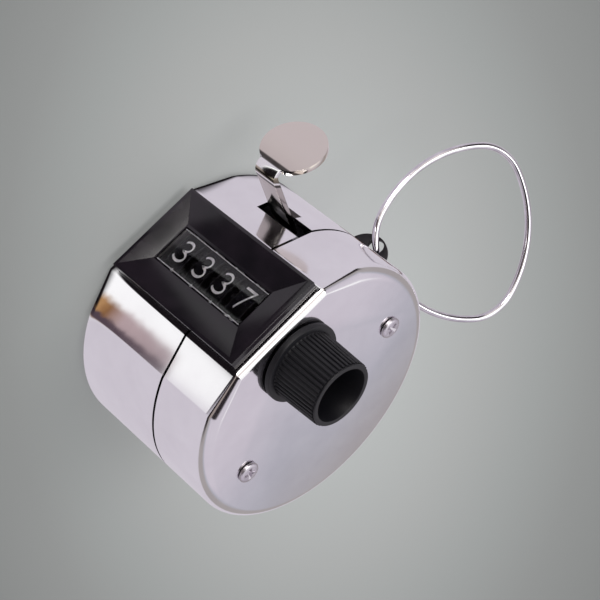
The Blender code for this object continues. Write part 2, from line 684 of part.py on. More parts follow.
def make_reset_knob():
    """Hollow knob: flange, ribbed barrel with a slight taper, blind bore and a socket below."""
    base = CASE_DEPTH + SEAT_GAP
    shelf = base + KNOB_FLANGE_THICKNESS
    tip = base + KNOB_LENGTH
    steps = KNOB_RIBS * 2
    socket = SHAFT_BORE
    socket_top = base + SHAFT_GRIP + SEAT_GAP

    def plain(radius, along):
        return circle(radius, along, out=SHAFT_OUT, steps=steps)

    rings = [
        plain(socket, socket_top), plain(socket, base),
        plain(KNOB_FLANGE_RADIUS, base), plain(KNOB_FLANGE_RADIUS, shelf),
        ribbed_ring(KNOB_BASE_RADIUS, shelf), ribbed_ring(KNOB_TIP_RADIUS, tip - KNOB_CHAMFER),
        plain(KNOB_TIP_RADIUS - KNOB_CHAMFER, tip), plain(KNOB_BORE_RADIUS, tip),
        plain(KNOB_BORE_RADIUS, base + KNOB_FLOOR),
    ]
    bm = bmesh.new()
    skin(bm, rings)
    return add_piece("reset_knob", bm, BLACK_MATT, place(0.0, SHAFT_OUT, base))


def make_plate(name, start, holes):
    bm = bmesh.new()
    prism(bm, case_section(PLATE_INSET), start, start + PLATE_THICKNESS)
    plate = add_piece(name, bm, ZINC)
    for hole in holes:
        cut(plate, hole)
    return plate


def make_post(name, side):
    """Shouldered pillar between the plates, bored for the case screw at its front end."""
    bore = SCREW_HOLE_RADIUS
    front = FRONT_INNER - SEAT_GAP
    profile = [
        (TENON_RADIUS, CASE_WALL + SEAT_GAP), (TENON_RADIUS, REAR_PLATE_END + SEAT_GAP),
        (POST_RADIUS, REAR_PLATE_END + SEAT_GAP), (POST_RADIUS, FRONT_PLATE_START - SEAT_GAP),
        (TENON_RADIUS, FRONT_PLATE_START - SEAT_GAP), (TENON_RADIUS, front),
        (bore, front), (bore, CASE_DEPTH - SCREW_GRIP - SCREW_RADIUS),
    ]
    bm = bmesh.new()
    turned(bm, profile, side * POST_UP, POST_OUT, 16)
    return add_piece(name, bm, BRASS, place(side * POST_UP, POST_OUT, CASE_WALL))


def make_case_screw(name, side):
    """Pan-head screw through the front face into its post."""
    seat = CASE_DEPTH + SEAT_GAP / 2
    tip = CASE_DEPTH - SCREW_GRIP
    profile = [(SCREW_RADIUS - SCREW_POINT, tip), (SCREW_RADIUS, tip + SCREW_POINT),
               (SCREW_RADIUS, seat), (SCREW_HEAD_RADIUS, seat),
               (SCREW_HEAD_RADIUS, seat + SCREW_HEAD_EDGE),
               (SCREW_HEAD_RADIUS - SCREW_HEAD_ROUND, seat + SCREW_HEAD_HEIGHT)]
    bm = bmesh.new()
    turned(bm, profile, side * POST_UP, POST_OUT, 20)
    return add_piece(name, bm, CHROME, place(side * POST_UP, POST_OUT, seat))


def make_bush():
    """Flanged bush that carries the reset shaft in the front plate and case."""
    bore = SHAFT_BORE
    start = FRONT_PLATE_START - SEAT_GAP
    flange = FRONT_PLATE_END + SEAT_GAP
    flange_end = FRONT_INNER - SEAT_GAP
    profile = [(bore, start), (BUSH_RADIUS, start), (BUSH_RADIUS, flange),
               (BUSH_FLANGE_RADIUS, flange), (BUSH_FLANGE_RADIUS, flange_end),
               (BUSH_RADIUS, flange_end), (BUSH_RADIUS, CASE_DEPTH), (bore, CASE_DEPTH)]
    bm = bmesh.new()
    turned(bm, profile, out=SHAFT_OUT, steps=24, bored=True)
    return add_piece("shaft_bush", bm, BRASS, place(0.0, SHAFT_OUT, start))


def make_plain_pin(name, radius, up, out, start, end):
    bm = bmesh.new()
    turned(bm, [(radius * 0.75, start), (radius, start + radius * 0.25),
                (radius, end - radius * 0.25), (radius * 0.75, end)], up, out, 16)
    return add_piece(name, bm, ZINC, place(up, out, start))


def bent_path():
    """Middle line of the thumb strip: up the strip, round the bend and out along the paddle."""
    lean = Vector((math.sin(STRIP_TILT), math.cos(STRIP_TILT)))
    sideways = Vector((lean.y, -lean.x))
    foot = Vector((STRIP_FOOT_UP, STRIP_FOOT_OUT)) + sideways * (STRIP_THICKNESS / 2)
    path = [(foot, lean), (foot + lean * STRIP_RISE, lean)]
    centre = path[-1][0] + sideways * BEND_RADIUS
    turn_total = math.pi / 2 + PADDLE_TILT - STRIP_TILT
    for k in range(1, BEND_STEPS + 1):
        turn = turn_total * k / BEND_STEPS
        heading = lean * math.cos(turn) + sideways * math.sin(turn)
        across = sideways * math.cos(turn) - lean * math.sin(turn)
        path.append((centre - across * BEND_RADIUS, heading))
    return path


def make_thumb_lever():
    """Strip, bend and round paddle, skinned as one bent sheet."""
    rows = [(spot, heading, STRIP_WIDTH / 2) for spot, heading in bent_path()]
    spot, heading, half = rows[-1]
    first = math.acos(-PADDLE_REACH / PADDLE_RADIUS)
    for k in range(1, PADDLE_STEPS + 1):
        share = k / PADDLE_STEPS
        turn = first * (1 - share) + PADDLE_END_ANGLE * share
        distance = PADDLE_REACH + PADDLE_RADIUS * math.cos(turn)
        rows.append((spot + heading * distance, heading, PADDLE_RADIUS * math.sin(turn)))
    rings = []
    for spot, heading, half in rows:
        face = Vector((heading.y, -heading.x)) * (STRIP_THICKNESS / 2)
        ring = []
        for side, edge in ((-1, -1), (-1, 1), (1, 1), (1, -1)):
            point = spot + face * side
            ring.append(place(point.x, point.y, STRIP_MIDDLE + half * edge))
        rings.append(ring)
    bm = bmesh.new()
    skin(bm, rings)
    pivot = place(LEVER_PIVOT_UP, LEVER_PIVOT_OUT, STRIP_MIDDLE)
    return add_piece("thumb_lever", bm, NICKEL, pivot, smooth_angle=50.0)


def make_rocker(pin_hole, pawl_hole):
    """U-shaped rocker: two arms that arch over the shaft, joined by a web behind the wheels."""
    eye = arc_points(LEVER_PIVOT_UP, LEVER_PIVOT_OUT, ROCKER_EYE_RADIUS,
                     math.radians(150), math.radians(355), 12)
    arch_foot = SHAFT_OUT + SHAFT_RADIUS + ROCKER_SHAFT_CLEARANCE
    arch_top = arch_foot + ROCKER_ARM_HEIGHT
    half_crown = ROCKER_CROWN / 2
    web_outer = WEB_UP + WEB_THICKNESS
    outline = eye + [
        (-half_crown, arch_top), (half_crown, arch_top),
        (web_outer - 2 * ROCKER_ARM_HEIGHT, WEB_HIGH + ROCKER_ARM_HEIGHT),
        (web_outer, WEB_HIGH), (web_outer, WEB_LOW), (WEB_UP, WEB_LOW),
        ((WEB_UP + half_crown) / 2, WEB_LOW + ROCKER_ARM_HEIGHT), (half_crown, arch_foot - SEAT_GAP),
        (-half_crown / 2, arch_foot), (-ROCKER_CROWN, arch_foot - ROCKER_ARM_HEIGHT),
    ]
    bm = bmesh.new()
    prism(bm, outline, ROCKER_REAR_ARM, ROCKER_FRONT_ARM + ROCKER_ARM_THICKNESS)
    pivot = place(LEVER_PIVOT_UP, LEVER_PIVOT_OUT, ROCKER_REAR_ARM)
    rocker = add_piece("lever_rocker", bm, ZINC, pivot)
    room = bmesh.new()
    reach = ROCKER_EYE_RADIUS + SEAT_GAP
    prism(room, box_outline(LEVER_PIVOT_UP - reach, WEB_UP, WEB_LOW - reach, arch_top + reach),
          ROCKER_REAR_ARM + ROCKER_ARM_THICKNESS, ROCKER_FRONT_ARM)
    cut(rocker, add_cutter("rocker_room_cutter", room))
    cut(rocker, pin_hole)
    cut(rocker, pawl_hole)
    return rocker


def make_pawl():
    """Drive pawl: a round head on its pin and a tapering nose down to the ratchet."""
    hole = PAWL_PIN_RADIUS + SEAT_GAP
    nose_up = RATCHET_RADIUS + SEAT_GAP
    outline = arc_points(PAWL_PIVOT_UP, PAWL_PIVOT_OUT, PAWL_HEAD_RADIUS,
                         math.radians(-70), math.radians(100), 9)
    outline += [(PAWL_PIVOT_UP + SEAT_GAP, PAWL_PIVOT_OUT - PAWL_HEAD_RADIUS - PAWL_NOSE_WIDTH),
                (nose_up + PAWL_NOSE_WIDTH, SHAFT_OUT - SEAT_GAP),
                (nose_up + PAWL_NOSE_TIP, SHAFT_OUT - SEAT_GAP / 2),
                (nose_up + PAWL_NOSE_TIP, SHAFT_OUT + PAWL_NOSE_WIDTH / 2)]
    start = RATCHET_START
    bm = bmesh.new()
    prism(bm, outline, start, start + RATCHET_WIDTH)
    pawl = add_piece("drive_pawl", bm, ZINC, place(PAWL_PIVOT_UP, PAWL_PIVOT_OUT, start))
    cut(pawl, hole_cutter("pawl_bore_cutter", hole, PAWL_PIVOT_UP, PAWL_PIVOT_OUT,
                          start - SEAT_GAP, start + RATCHET_WIDTH + SEAT_GAP, 16))
    return pawl


def make_leaf(name, points):
    """Thin leaf spring that follows a line of (up, out) points in the plane of the ratchet."""
    left = []
    right = []
    for i, point in enumerate(points):
        before = Vector(points[max(i - 1, 0)])
        after = Vector(points[min(i + 1, len(points) - 1)])
        run = (after - before).normalized()
        side = Vector((-run.y, run.x)) * (LEAF_THICKNESS / 2)
        left.append(tuple(Vector(point) + side))
        right.append(tuple(Vector(point) - side))
    bm = bmesh.new()
    prism(bm, left + right[::-1], RATCHET_START + LEAF_SIDE_GAP,
          RATCHET_START + RATCHET_WIDTH - LEAF_SIDE_GAP)
    return add_piece(name, bm, ZINC)


def make_pawl_spring():
    root = WEB_UP - SEAT_GAP
    tip = PAWL_PIVOT_UP + PAWL_HEAD_RADIUS + SLIDE_GAP
    top = WEB_LOW + PAWL_SPRING_RISE
    points = [(root, WEB_LOW + LEAF_THICKNESS), (root - LEAF_THICKNESS, top - 2 * LEAF_THICKNESS),
              (root - 4 * LEAF_THICKNESS, top), (tip, top - LEAF_THICKNESS)]
    return make_leaf("pawl_spring", points)


def make_detent_spring():
    """Bowed leaf from the detent post to the ratchet's rim."""
    tip = Vector((-RATCHET_RADIUS - SEAT_GAP - LEAF_THICKNESS / 2, SHAFT_OUT - SEAT_GAP))
    post = Vector((DETENT_POST_UP, DETENT_POST_OUT))
    lean = (tip - post).normalized()
    foot = post + lean * (DETENT_POST_RADIUS + SEAT_GAP)
    bow = Vector((-lean.y, lean.x)) * DETENT_BOW
    bowed = [foot.lerp(tip, share) + bow for share in (1 / 3, 2 / 3)]
    return make_leaf("detent_spring", [foot, *bowed, tip])


def make_detent_post():
    """Stud on the front plate at the foot of the detent spring."""
    start = RATCHET_START
    bm = bmesh.new()
    turned(bm, [(DETENT_POST_RADIUS, start), (DETENT_POST_RADIUS, FRONT_PLATE_END)],
           DETENT_POST_UP, DETENT_POST_OUT, 16)
    return add_piece("detent_post", bm, ZINC, place(DETENT_POST_UP, DETENT_POST_OUT, start))


def tube(bm, points, radius, sides, closed):
    """Round wire along a list of points, with its section kept square to the path."""
    count = len(points)
    rings = []
    side = None
    for i in range(count):
        if closed:
            run = (points[(i + 1) % count] - points[i - 1]).normalized()
        else:
            run = (points[min(i + 1, count - 1)] - points[max(i - 1, 0)]).normalized()
        if side is None:
            side = run.orthogonal().normalized()
        side = (side - run * side.dot(run)).normalized()
        other = run.cross(side)
        ring = []
        for k in range(sides):
            turn = 2 * math.pi * k / sides
            ring.append(points[i] + (side * math.cos(turn) + other * math.sin(turn)) * radius)
        rings.append(ring)
    skin(bm, rings, capped=not closed)


def make_return_spring():
    """Torsion spring round the lever pin; one leg lies under the rocker arm, one faces the case."""
    coil = LEVER_PIN_RADIUS + SEAT_GAP + SPRING_WIRE_RADIUS
    start = ROCKER_REAR_ARM + ROCKER_ARM_THICKNESS + SEAT_GAP + SPRING_WIRE_RADIUS
    steps = SPRING_TURNS * SPRING_TURN_STEPS
    points = []
    for i in range(steps + 1):
        turn = math.radians(180) + 2 * math.pi * SPRING_TURNS * i / steps
        points.append(place(LEVER_PIVOT_UP + coil * math.sin(turn),
                            LEVER_PIVOT_OUT + coil * math.cos(turn), start + SPRING_LENGTH * i / steps))
    first = points[0]
    last = points[-1]
    run_in = place(1.0, 0.0, 0.0)
    points = [first + run_in * SPRING_LEG * share for share in (1.0, 0.5)] + points
    points += [last - run_in * SPRING_LEG * share for share in (0.3, 0.6)]
    bm = bmesh.new()
    tube(bm, points, SPRING_WIRE_RADIUS, 6, False)
    return add_piece("return_spring", bm, ZINC, place(LEVER_PIVOT_UP, LEVER_PIVOT_OUT, start))


def make_ring_bracket():
    """Cross plate between the frame plates; its outer end comes through the case as the lug."""
    inner = REAR_PLATE_END + SEAT_GAP
    outer = FRONT_PLATE_START - SEAT_GAP
    tenon_ends = (REAR_PLATE_START, FRONT_PLATE_END)
    tenon_far = TENON_UP + TENON_WIDTH
    low = LUG_ALONG - LUG_RADIUS
    high = LUG_ALONG + LUG_RADIUS
    lug = []
    for k in range(LUG_STEPS + 1):
        turn = math.pi * k / LUG_STEPS
        lug.append((LUG_UP + LUG_RADIUS * math.sin(turn), LUG_ALONG - LUG_RADIUS * math.cos(turn)))
    outline = [
        (BRACKET_INNER_UP, inner), (TENON_UP, inner), (TENON_UP, tenon_ends[0]),
        (tenon_far, tenon_ends[0]), (tenon_far, inner), (BRACKET_OUTER_UP, inner),
        (BRACKET_OUTER_UP, low), *lug, (BRACKET_OUTER_UP, high), (BRACKET_OUTER_UP, outer),
        (tenon_far, outer), (tenon_far, tenon_ends[1]), (TENON_UP, tenon_ends[1]),
        (TENON_UP, outer), (BRACKET_INNER_UP, outer),
    ]
    bm = bmesh.new()
    faces = (BRACKET_OUT - BRACKET_THICKNESS / 2, BRACKET_OUT + BRACKET_THICKNESS / 2)
    skin(bm, [[place(up, out, along) for up, along in outline] for out in faces])
    bracket = add_piece("ring_bracket", bm, BLACK_STEEL)
    hole = bmesh.new()
    rings = []
    for out in (faces[0] - SEAT_GAP, faces[1] + SEAT_GAP):
        ring = []
        for k in range(LUG_STEPS):
            turn = 2 * math.pi * k / LUG_STEPS
            ring.append(place(RING_UP + LUG_HOLE_RADIUS * math.cos(turn), out,
                              RING_ALONG + LUG_HOLE_RADIUS * math.sin(turn)))
        rings.append(ring)
    skin(hole, rings)
    cut(bracket, add_cutter("lug_hole_cutter", hole))
    return bracket


def ring_outline():
    """Middle line of the ring wire: three corner arcs and three long arcs about the far corners.

    The first value given back is where the wire hangs in the lug hole, a little round its corner.
    """
    reach = RING_SIDE / math.sqrt(3)
    third = 2 * math.pi / 3
    hung = RING_LEAN + third

    def heading(turn):
        return Vector((math.cos(turn), math.sin(turn)))

    points = []
    for k in range(3):
        corner = hung + third * k
        centre = heading(corner) * reach
        far_centre = heading(corner - third) * reach
        for start, middle, radius in ((corner, centre, RING_CORNER_RADIUS),
                                      (corner + third / 2, far_centre, RING_SIDE + RING_CORNER_RADIUS)):
            for step in range(RING_ARC_STEPS):
                turn = start + third / 2 * (step / RING_ARC_STEPS - 0.5)
                points.append(middle + heading(turn) * radius)
    anchor = heading(hung) * reach + heading(hung + RING_SLIP) * RING_CORNER_RADIUS
    return anchor, points


def make_finger_ring():
    up = place(1.0, 0.0, 0.0)
    across = place(0.0, math.cos(RING_TURN), -math.sin(RING_TURN))
    hole = place(RING_UP, BRACKET_OUT, RING_ALONG)
    anchor, outline = ring_outline()
    points = [hole + up * (point.x - anchor.x) + across * (point.y - anchor.y) for point in outline]
    bm = bmesh.new()
    tube(bm, points, RING_WIRE_RADIUS, RING_SIDES, True)
    return add_piece("finger_ring", bm, CHROME, hole)


def build():
    clear_scene()
    window = window_cutter()
    make_rear_case(window, lever_slot_cutters(), lug_slot_cutter())
    bush_clear = BUSH_RADIUS + SEAT_GAP
    past = 2 * CASE_WALL
    front_holes = [hole_cutter("bush_hole_cutter", bush_clear, 0.0, SHAFT_OUT,
                               FRONT_PLATE_START - past, CASE_DEPTH + past, 32)]
    for side, word in SIDES:
        front_holes.append(hole_cutter(word + "_screw_hole_cutter", SCREW_HOLE_RADIUS,
                                       side * POST_UP, POST_OUT, FRONT_INNER - past, CASE_DEPTH + past))
    make_front_case(window, front_holes)
    make_bezel()
    make_lens()

    ends = (REAR_PLATE_START - past, FRONT_PLATE_END + CASE_WALL)
    pin_hole = hole_cutter("lever_pin_hole_cutter", LEVER_PIN_RADIUS + SEAT_GAP,
                           LEVER_PIVOT_UP, LEVER_PIVOT_OUT, *ends)
    pinion_hole = hole_cutter("pinion_shaft_hole_cutter", PINION_SHAFT_RADIUS + SEAT_GAP,
                              0.0, PINION_OUT, *ends)
    post_holes = [hole_cutter(word + "_post_hole_cutter", TENON_RADIUS + SEAT_GAP, side * POST_UP,
                              POST_OUT, *ends) for side, word in SIDES]
    tenon_hole = bmesh.new()
    half = BRACKET_THICKNESS / 2 + SEAT_GAP
    prism(tenon_hole, box_outline(TENON_UP - SEAT_GAP, TENON_UP + TENON_WIDTH + SEAT_GAP,
                                  BRACKET_OUT - half, BRACKET_OUT + half), *ends)
    shared = [pin_hole, pinion_hole, *post_holes, add_cutter("tenon_hole_cutter", tenon_hole)]
    rear_bore = hole_cutter("rear_bore_cutter", SHAFT_BORE, 0.0, SHAFT_OUT,
                            REAR_PLATE_START - past, REAR_PLATE_END + past, 32)
    detent_hole = hole_cutter("detent_hole_cutter", DETENT_POST_RADIUS + SEAT_GAP, DETENT_POST_UP,
                              DETENT_POST_OUT, FRONT_PLATE_START - past, FRONT_PLATE_END + past, 16)
    make_plate("rear_plate", REAR_PLATE_START, [*shared, rear_bore])
    make_plate("front_plate", FRONT_PLATE_START, [*shared, front_holes[0], detent_hole])
    for side, word in SIDES:
        make_post(word + "_post", side)
        make_case_screw(word + "_screw", side)
    make_bush()

    for index in range(len(WHEEL_NAMES)):
        make_wheel(index)
    for index in range(len(WHEEL_NAMES) - 1):
        make_pinion(index)
    make_plain_pin("pinion_shaft", PINION_SHAFT_RADIUS, 0.0, PINION_OUT, CASE_WALL + SEAT_GAP,
                   FRONT_PLATE_END + SEAT_GAP)
    make_ratchet()
    make_reset_shaft()
    make_shaft_clip()
    make_reset_knob()

    make_plain_pin("lever_pin", LEVER_PIN_RADIUS, LEVER_PIVOT_UP, LEVER_PIVOT_OUT,
                   CASE_WALL + SEAT_GAP, FRONT_PLATE_END + SEAT_GAP)
    pawl_hole = hole_cutter("pawl_pin_hole_cutter", PAWL_PIN_RADIUS + SEAT_GAP / 2, PAWL_PIVOT_UP,
                            PAWL_PIVOT_OUT, RATCHET_START, FRONT_PLATE_START - SEAT_GAP / 2, 16)
    make_thumb_lever()
    make_rocker(pin_hole, pawl_hole)
    make_plain_pin("pawl_pin", PAWL_PIN_RADIUS, PAWL_PIVOT_UP, PAWL_PIVOT_OUT,
                   RATCHET_START, ROCKER_FRONT_ARM + ROCKER_ARM_THICKNESS)
    make_pawl()
    make_pawl_spring()
    make_return_spring()
    make_detent_spring()
    make_detent_post()
    make_ring_bracket()
    make_finger_ring()


build()
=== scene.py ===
"""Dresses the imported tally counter: case cups, window frame, number wheels, knob, lever, ring, stage."""

import json
from functools import partial
from math import acos, atan2, ceil, cos, pi, radians, sin, sqrt, tan

import bmesh
import bpy
from bpy.props import FloatProperty, FloatVectorProperty, IntProperty, PointerProperty
from bpy.types import Operator, Panel, PropertyGroup
from mathutils import Matrix, Vector


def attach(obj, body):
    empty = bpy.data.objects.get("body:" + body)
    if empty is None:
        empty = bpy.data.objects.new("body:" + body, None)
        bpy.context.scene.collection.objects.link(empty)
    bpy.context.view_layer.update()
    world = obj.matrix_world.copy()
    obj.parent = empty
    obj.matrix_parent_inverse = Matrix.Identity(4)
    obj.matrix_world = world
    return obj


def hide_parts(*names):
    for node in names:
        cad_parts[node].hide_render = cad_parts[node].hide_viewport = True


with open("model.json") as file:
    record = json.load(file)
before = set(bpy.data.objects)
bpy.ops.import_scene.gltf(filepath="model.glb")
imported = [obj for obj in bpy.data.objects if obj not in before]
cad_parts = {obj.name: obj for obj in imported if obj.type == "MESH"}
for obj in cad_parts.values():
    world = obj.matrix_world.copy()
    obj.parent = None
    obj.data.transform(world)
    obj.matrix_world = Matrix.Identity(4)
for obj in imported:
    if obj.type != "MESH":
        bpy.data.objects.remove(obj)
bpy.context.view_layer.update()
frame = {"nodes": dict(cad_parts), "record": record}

bl_info = {
    "name": "Tally Counter",
    "version": (1, 0, 0),
    "blender": (4, 5, 0),
    "location": "3D View > Sidebar > Tally",
    "description": "Builds the visible pieces, finishes and stage of a hand tally counter",
    "category": "Object",
}

MM = 0.001

# Sizes that repeat the CAD part's own, in the frame's metres, but for four that differ by up to
# 0.3 mm for the likeness: parting gap, bezel's end, strip's rise and bend radius. A place is
# (up, out, along): up is the way the digits stand, out the way the window faces, along the way to
# the knob.
CASE_RADIUS = 22.5 * MM
REAR_DEPTH = 18.2 * MM
CASE_DEPTH = 29.54 * MM
CASE_WALL = 0.8 * MM
FACE_FILLET = 2.06 * MM
PLATFORM_FILLET = 1.0 * MM
PLATFORM_OUT = 20.3 * MM
PLATFORM_HALF_WIDTH = 8.7 * MM
PLATFORM_CORNER = 1.2 * MM
CREASE_ANGLE = radians(42.5)
PARTING_GAP = 0.42 * MM
SEAT_GAP = 0.3 * MM
BEZEL_START = 1.67 * MM
BEZEL_END = 28.35 * MM
BEZEL_HALF_WIDTH = 8.13 * MM
BEZEL_FLOOR = 20.6 * MM
BEZEL_TOP = 22.22 * MM
BEZEL_RIM = 0.5 * MM
BEZEL_END_RIM = 1.0 * MM
FUNNEL_DEPTH = 1.1 * MM
LENS_GAP = 0.2 * MM
LENS_DROP = 0.1 * MM
LENS_THICKNESS = 0.35 * MM
WINDOW_START = 5.3 * MM
WINDOW_END = 23.9 * MM
WINDOW_HALF_HEIGHT = 3.28 * MM
WINDOW_MARGIN = 1.0 * MM
SHAFT_OUT = 12.77 * MM
WHEEL_RADIUS = 7.6 * MM
WHEEL_PITCH = 4.4 * MM
RIM_WIDTH = 3.2 * MM
FIRST_WHEEL = 7.91 * MM
BORE_RADIUS = 1.8 * MM
INK_HEIGHT = 0.012 * MM
DIGIT_TURN = radians(36)
POST_UP = 15.25 * MM
POST_OUT = 0.1 * MM
STRIP_START = 10.0 * MM
STRIP_WIDTH = 4.0 * MM
STRIP_THICKNESS = 0.9 * MM
STRIP_FOOT_UP = 14.15 * MM
STRIP_FOOT_OUT = 12.4 * MM
STRIP_TILT = radians(4.1)
STRIP_RISE = 13.2 * MM
BEND_RADIUS = 1.15 * MM
PADDLE_TILT = radians(12.5)
PADDLE_RADIUS = 5.0 * MM
PADDLE_REACH = 4.35 * MM
SLOT_START = 9.2 * MM
SLOT_STEP = 14.4 * MM
SLOT_LOW_ANGLE = radians(36.12)
SLOT_HIGH_ANGLE = radians(43.76)
SLOT_WIDE_ANGLE = radians(47.34)
BRACKET_OUT = -5.3 * MM
BRACKET_THICKNESS = 0.8 * MM
BRACKET_OUTER_UP = 19.6 * MM
LUG_UP = 23.5 * MM
LUG_ALONG = 14.15 * MM
LUG_RADIUS = 3.9 * MM
LUG_HOLE_RADIUS = 1.35 * MM
RING_UP = 25.72 * MM
RING_ALONG = 14.73 * MM
RING_WIRE_RADIUS = 0.575 * MM
RING_SIDE = 12.44 * MM
RING_CORNER_RADIUS = 8.2 * MM
RING_TURN = radians(33.1)
RING_LEAN = radians(18.2)
RING_SLIP = radians(11.9)
SHOWN_DIGITS = {"thousands": 3, "hundreds": 3, "tens": 3, "units": 7}

# Smooth-shading angles in degrees: pressed cups, turned rims, cut heads, bent sheet, wire
CUP_ANGLE = 20.0
RIM_ANGLE = 30.0
HEAD_ANGLE = 40.0
SHEET_ANGLE = 50.0
WIRE_ANGLE = 60.0
# Facets round wheels, knob and small round shapes, and steps along curved outlines
WHEEL_FACETS = 120
KNOB_FACETS = 128
HOLE_FACETS = 48
STRIP_STEPS = 5
BEND_STEPS = 14
PADDLE_STEPS = 40
LUG_STEPS = 32
INNER_FILLET_STEPS = 4
# The paddle's outline stops this turn short of its tip, so that its last row keeps a width
PADDLE_LAST_TURN = 0.04
# Middle point of a soft edge, as a share of its rounding
EDGE_BULGE = 0.3
# Cross recess: arm length and half width in head radii, level in head heights
CROSS_LEVELS = ((0.16, 0.07, 0.05), (0.60, 0.15, 0.74), (0.68, 0.17, 1.1))
# Longest step of a printed stroke, and limits of its widening at a corner
STROKE_STEP = 0.16
MITRE_COSINE = 0.5
MITRE_MOST = 1.8

# Camera found by resection of the photograph
CAMERA_PLACE = (0.0363874, -0.2018775, 0.1407902)
CAMERA_RIGHT = (-0.694442, 0.258980, 0.671327)
CAMERA_UP = (-0.693618, -0.489148, -0.528799)
CAMERA_LENS = 93.697
SENSOR_WIDTH = 36.0

# Painted pool of light in the floor's colour: oval, tapering away from the camera, in the frame's metres
POOL_MIDDLE = (-0.01551, 0.02392, 0.0)
POOL_TURN = radians(-2.7)
POOL_REACH = (0.0745, 0.1493, 1.0)
POOL_TAPER = (-0.7061, 3.0721, 0.0)
POOL_TAPER_START = 0.9156
POOL_TAPER_LEAST = 0.25
POOL_TONES = ((0.00, "cacccb"), (0.17, "c7c9c9"), (0.33, "bfc2c1"), (0.50, "b4b6b5"),
              (0.67, "a6a9a8"), (0.83, "999b9a"), (1.00, "8f9190"))
# The paper's painted glow, an emission though it is no lamp, and its colour drawn back by as much, halve
# the object's shadow
PAPER_GLOW = 0.3
PAPER_SHARE = 0.655

# Painted reflection across the lever's bend, from the foot of the strip to the paddle: dark, white and
# olive bands standing in for what the bend's curve reflects
BEND_AXIS = (-0.75585, -0.65474, 0.0)
BEND_START = 21.279 * MM
BEND_END = 33.279 * MM
BEND_REFLECTION_TONES = ((0.000, "141214"), (0.108, "141214"), (0.150, "bdb7b1"), (0.512, "c4bdb8"),
              (0.520, "050404"), (0.548, "050404"), (0.556, "fffdfa"), (0.571, "ffffff"),
              (0.583, "5e5640"), (0.625, "857c66"), (0.650, "b9b09e"), (0.665, "ffffff"),
              (0.758, "ffffff"), (0.768, "050404"), (0.798, "050404"), (0.810, "ded5cc"),
              (0.900, "e6ded4"), (1.000, "e9e1d8"))

# Soft lamps: property with the power, place, aim, width, colour, spread
LAMPS = {
    "key_softbox": ("key_power", (-0.25, -0.20, 0.70), (0.0, 0.0, 0.015), 0.5, (1.0, 0.99, 0.98), pi),
    "front_softbox": ("front_power", (-0.095, -0.485, 0.075), (0.0, -0.02, 0.015), 0.2, (1.0, 0.98, 0.96),
                      radians(60.0)),
}
NEAR_CLIP = 0.01

# What the chrome sees, painted on the floor's glowing sheet and in the tent: turn of the floor's card and
# strip, their tones along the strip and up the tent, and the axes across the flag above the camera and the
# painted dark patch beside the window frame
CARD_TURN = radians(38.9)
AMBER_TONES = ((0.00, "65452e"), (0.20, "bd9264"), (0.27, "87603f"), (0.38, "b6a1a3"), (0.90, "a49599"))
TENT_TONES = ((0.36, "a59f9f"), (0.44, "aeaeb8"), (0.52, "ccc5cf"), (1.00, "d1cbd4"))
FLAG_AXIS = (0.13, 1.0, -0.9)
PATCH_AXIS = (1.0, -0.5, 0.0)


# Geometry helpers

def place(up, out, along):
    """World point of a place given by up, out and along."""
    return Vector((-up, -out, along))


def turns(start, end, steps):
    """Even steps from start to end, both included."""
    return [start + (end - start) * i / steps for i in range(steps + 1)]


def circle(radius, along, up=0.0, out=0.0, steps=64):
    return [place(up + radius * sin(turn), out + radius * cos(turn), along)
            for turn in turns(0.0, 2 * pi, steps)[:-1]]


def arc_points(up, out, radius, start, end, steps):
    """Points on an arc about (up, out); angles run from out towards up."""
    return [(up + radius * sin(turn), out + radius * cos(turn)) for turn in turns(start, end, steps)]


def layers(outline, *places):
    """Rings of one outline of (up, out) points at places along the drum axis."""
    return [[place(up, out, along) for up, out in outline] for along in places]


def soft_edge(radius, along, sideways, onwards):
    """Three profile points round an edge, from its flat side to its round one."""
    return [(radius + sideways, along), (radius + EDGE_BULGE * sideways, along + EDGE_BULGE * onwards),
            (radius, along + onwards)]


def box_outline(up_low, up_high, out_low, out_high):
    return [(up_low, out_low), (up_high, out_low), (up_high, out_high), (up_low, out_high)]


def skinned(name, rings, materials=(), smooth_angle=35.0, capped=True):
    """Object of rings joined with quads, its ends capped or joined, soft below the given angle."""
    bm = bmesh.new()
    rows = [[bm.verts.new(point) for point in ring] for ring in rings]
    pairs = list(zip(rows, rows[1:]))
    if not capped:
        pairs.append((rows[-1], rows[0]))
    for low, high in pairs:
        for i in range(len(low)):
            j = (i + 1) % len(low)
            bm.faces.new((low[i], low[j], high[j], high[i]))
    if capped:
        bm.faces.new(rows[0])
        bm.faces.new(rows[-1][::-1])
    bmesh.ops.recalc_face_normals(bm, faces=bm.faces)
    mesh = bpy.data.meshes.new(name)
    bm.to_mesh(mesh)
    bm.free()
    mesh.shade_smooth()
    mesh.set_sharp_from_angle(angle=radians(smooth_angle))
    for material in materials:
        mesh.materials.append(material)
    return added(bpy.data.objects.new(name, mesh))


def added(piece):
    """Link an object into the scene."""
    bpy.context.scene.collection.objects.link(piece)
    return piece


def bake_modifiers(piece, smooth_angle):
    """Replace a piece's mesh with its evaluated one and drop its modifiers."""
    bpy.context.view_layer.update()
    evaluated = piece.evaluated_get(bpy.context.evaluated_depsgraph_get())
    mesh = bpy.data.meshes.new_from_object(evaluated)
    piece.modifiers.clear()
    piece.data = mesh
    mesh.shade_smooth()
    mesh.set_sharp_from_angle(angle=radians(smooth_angle))
    return piece


def cut_and_bake(piece, cutters, smooth_angle=35.0):
    for cutter in cutters:
        step = piece.modifiers.new("cut_" + cutter.name, "BOOLEAN")
        step.operation = "DIFFERENCE"
        step.object = cutter
    bake_modifiers(piece, smooth_angle)
    for cutter in cutters:
        bpy.data.objects.remove(cutter, do_unlink=True)
    return piece


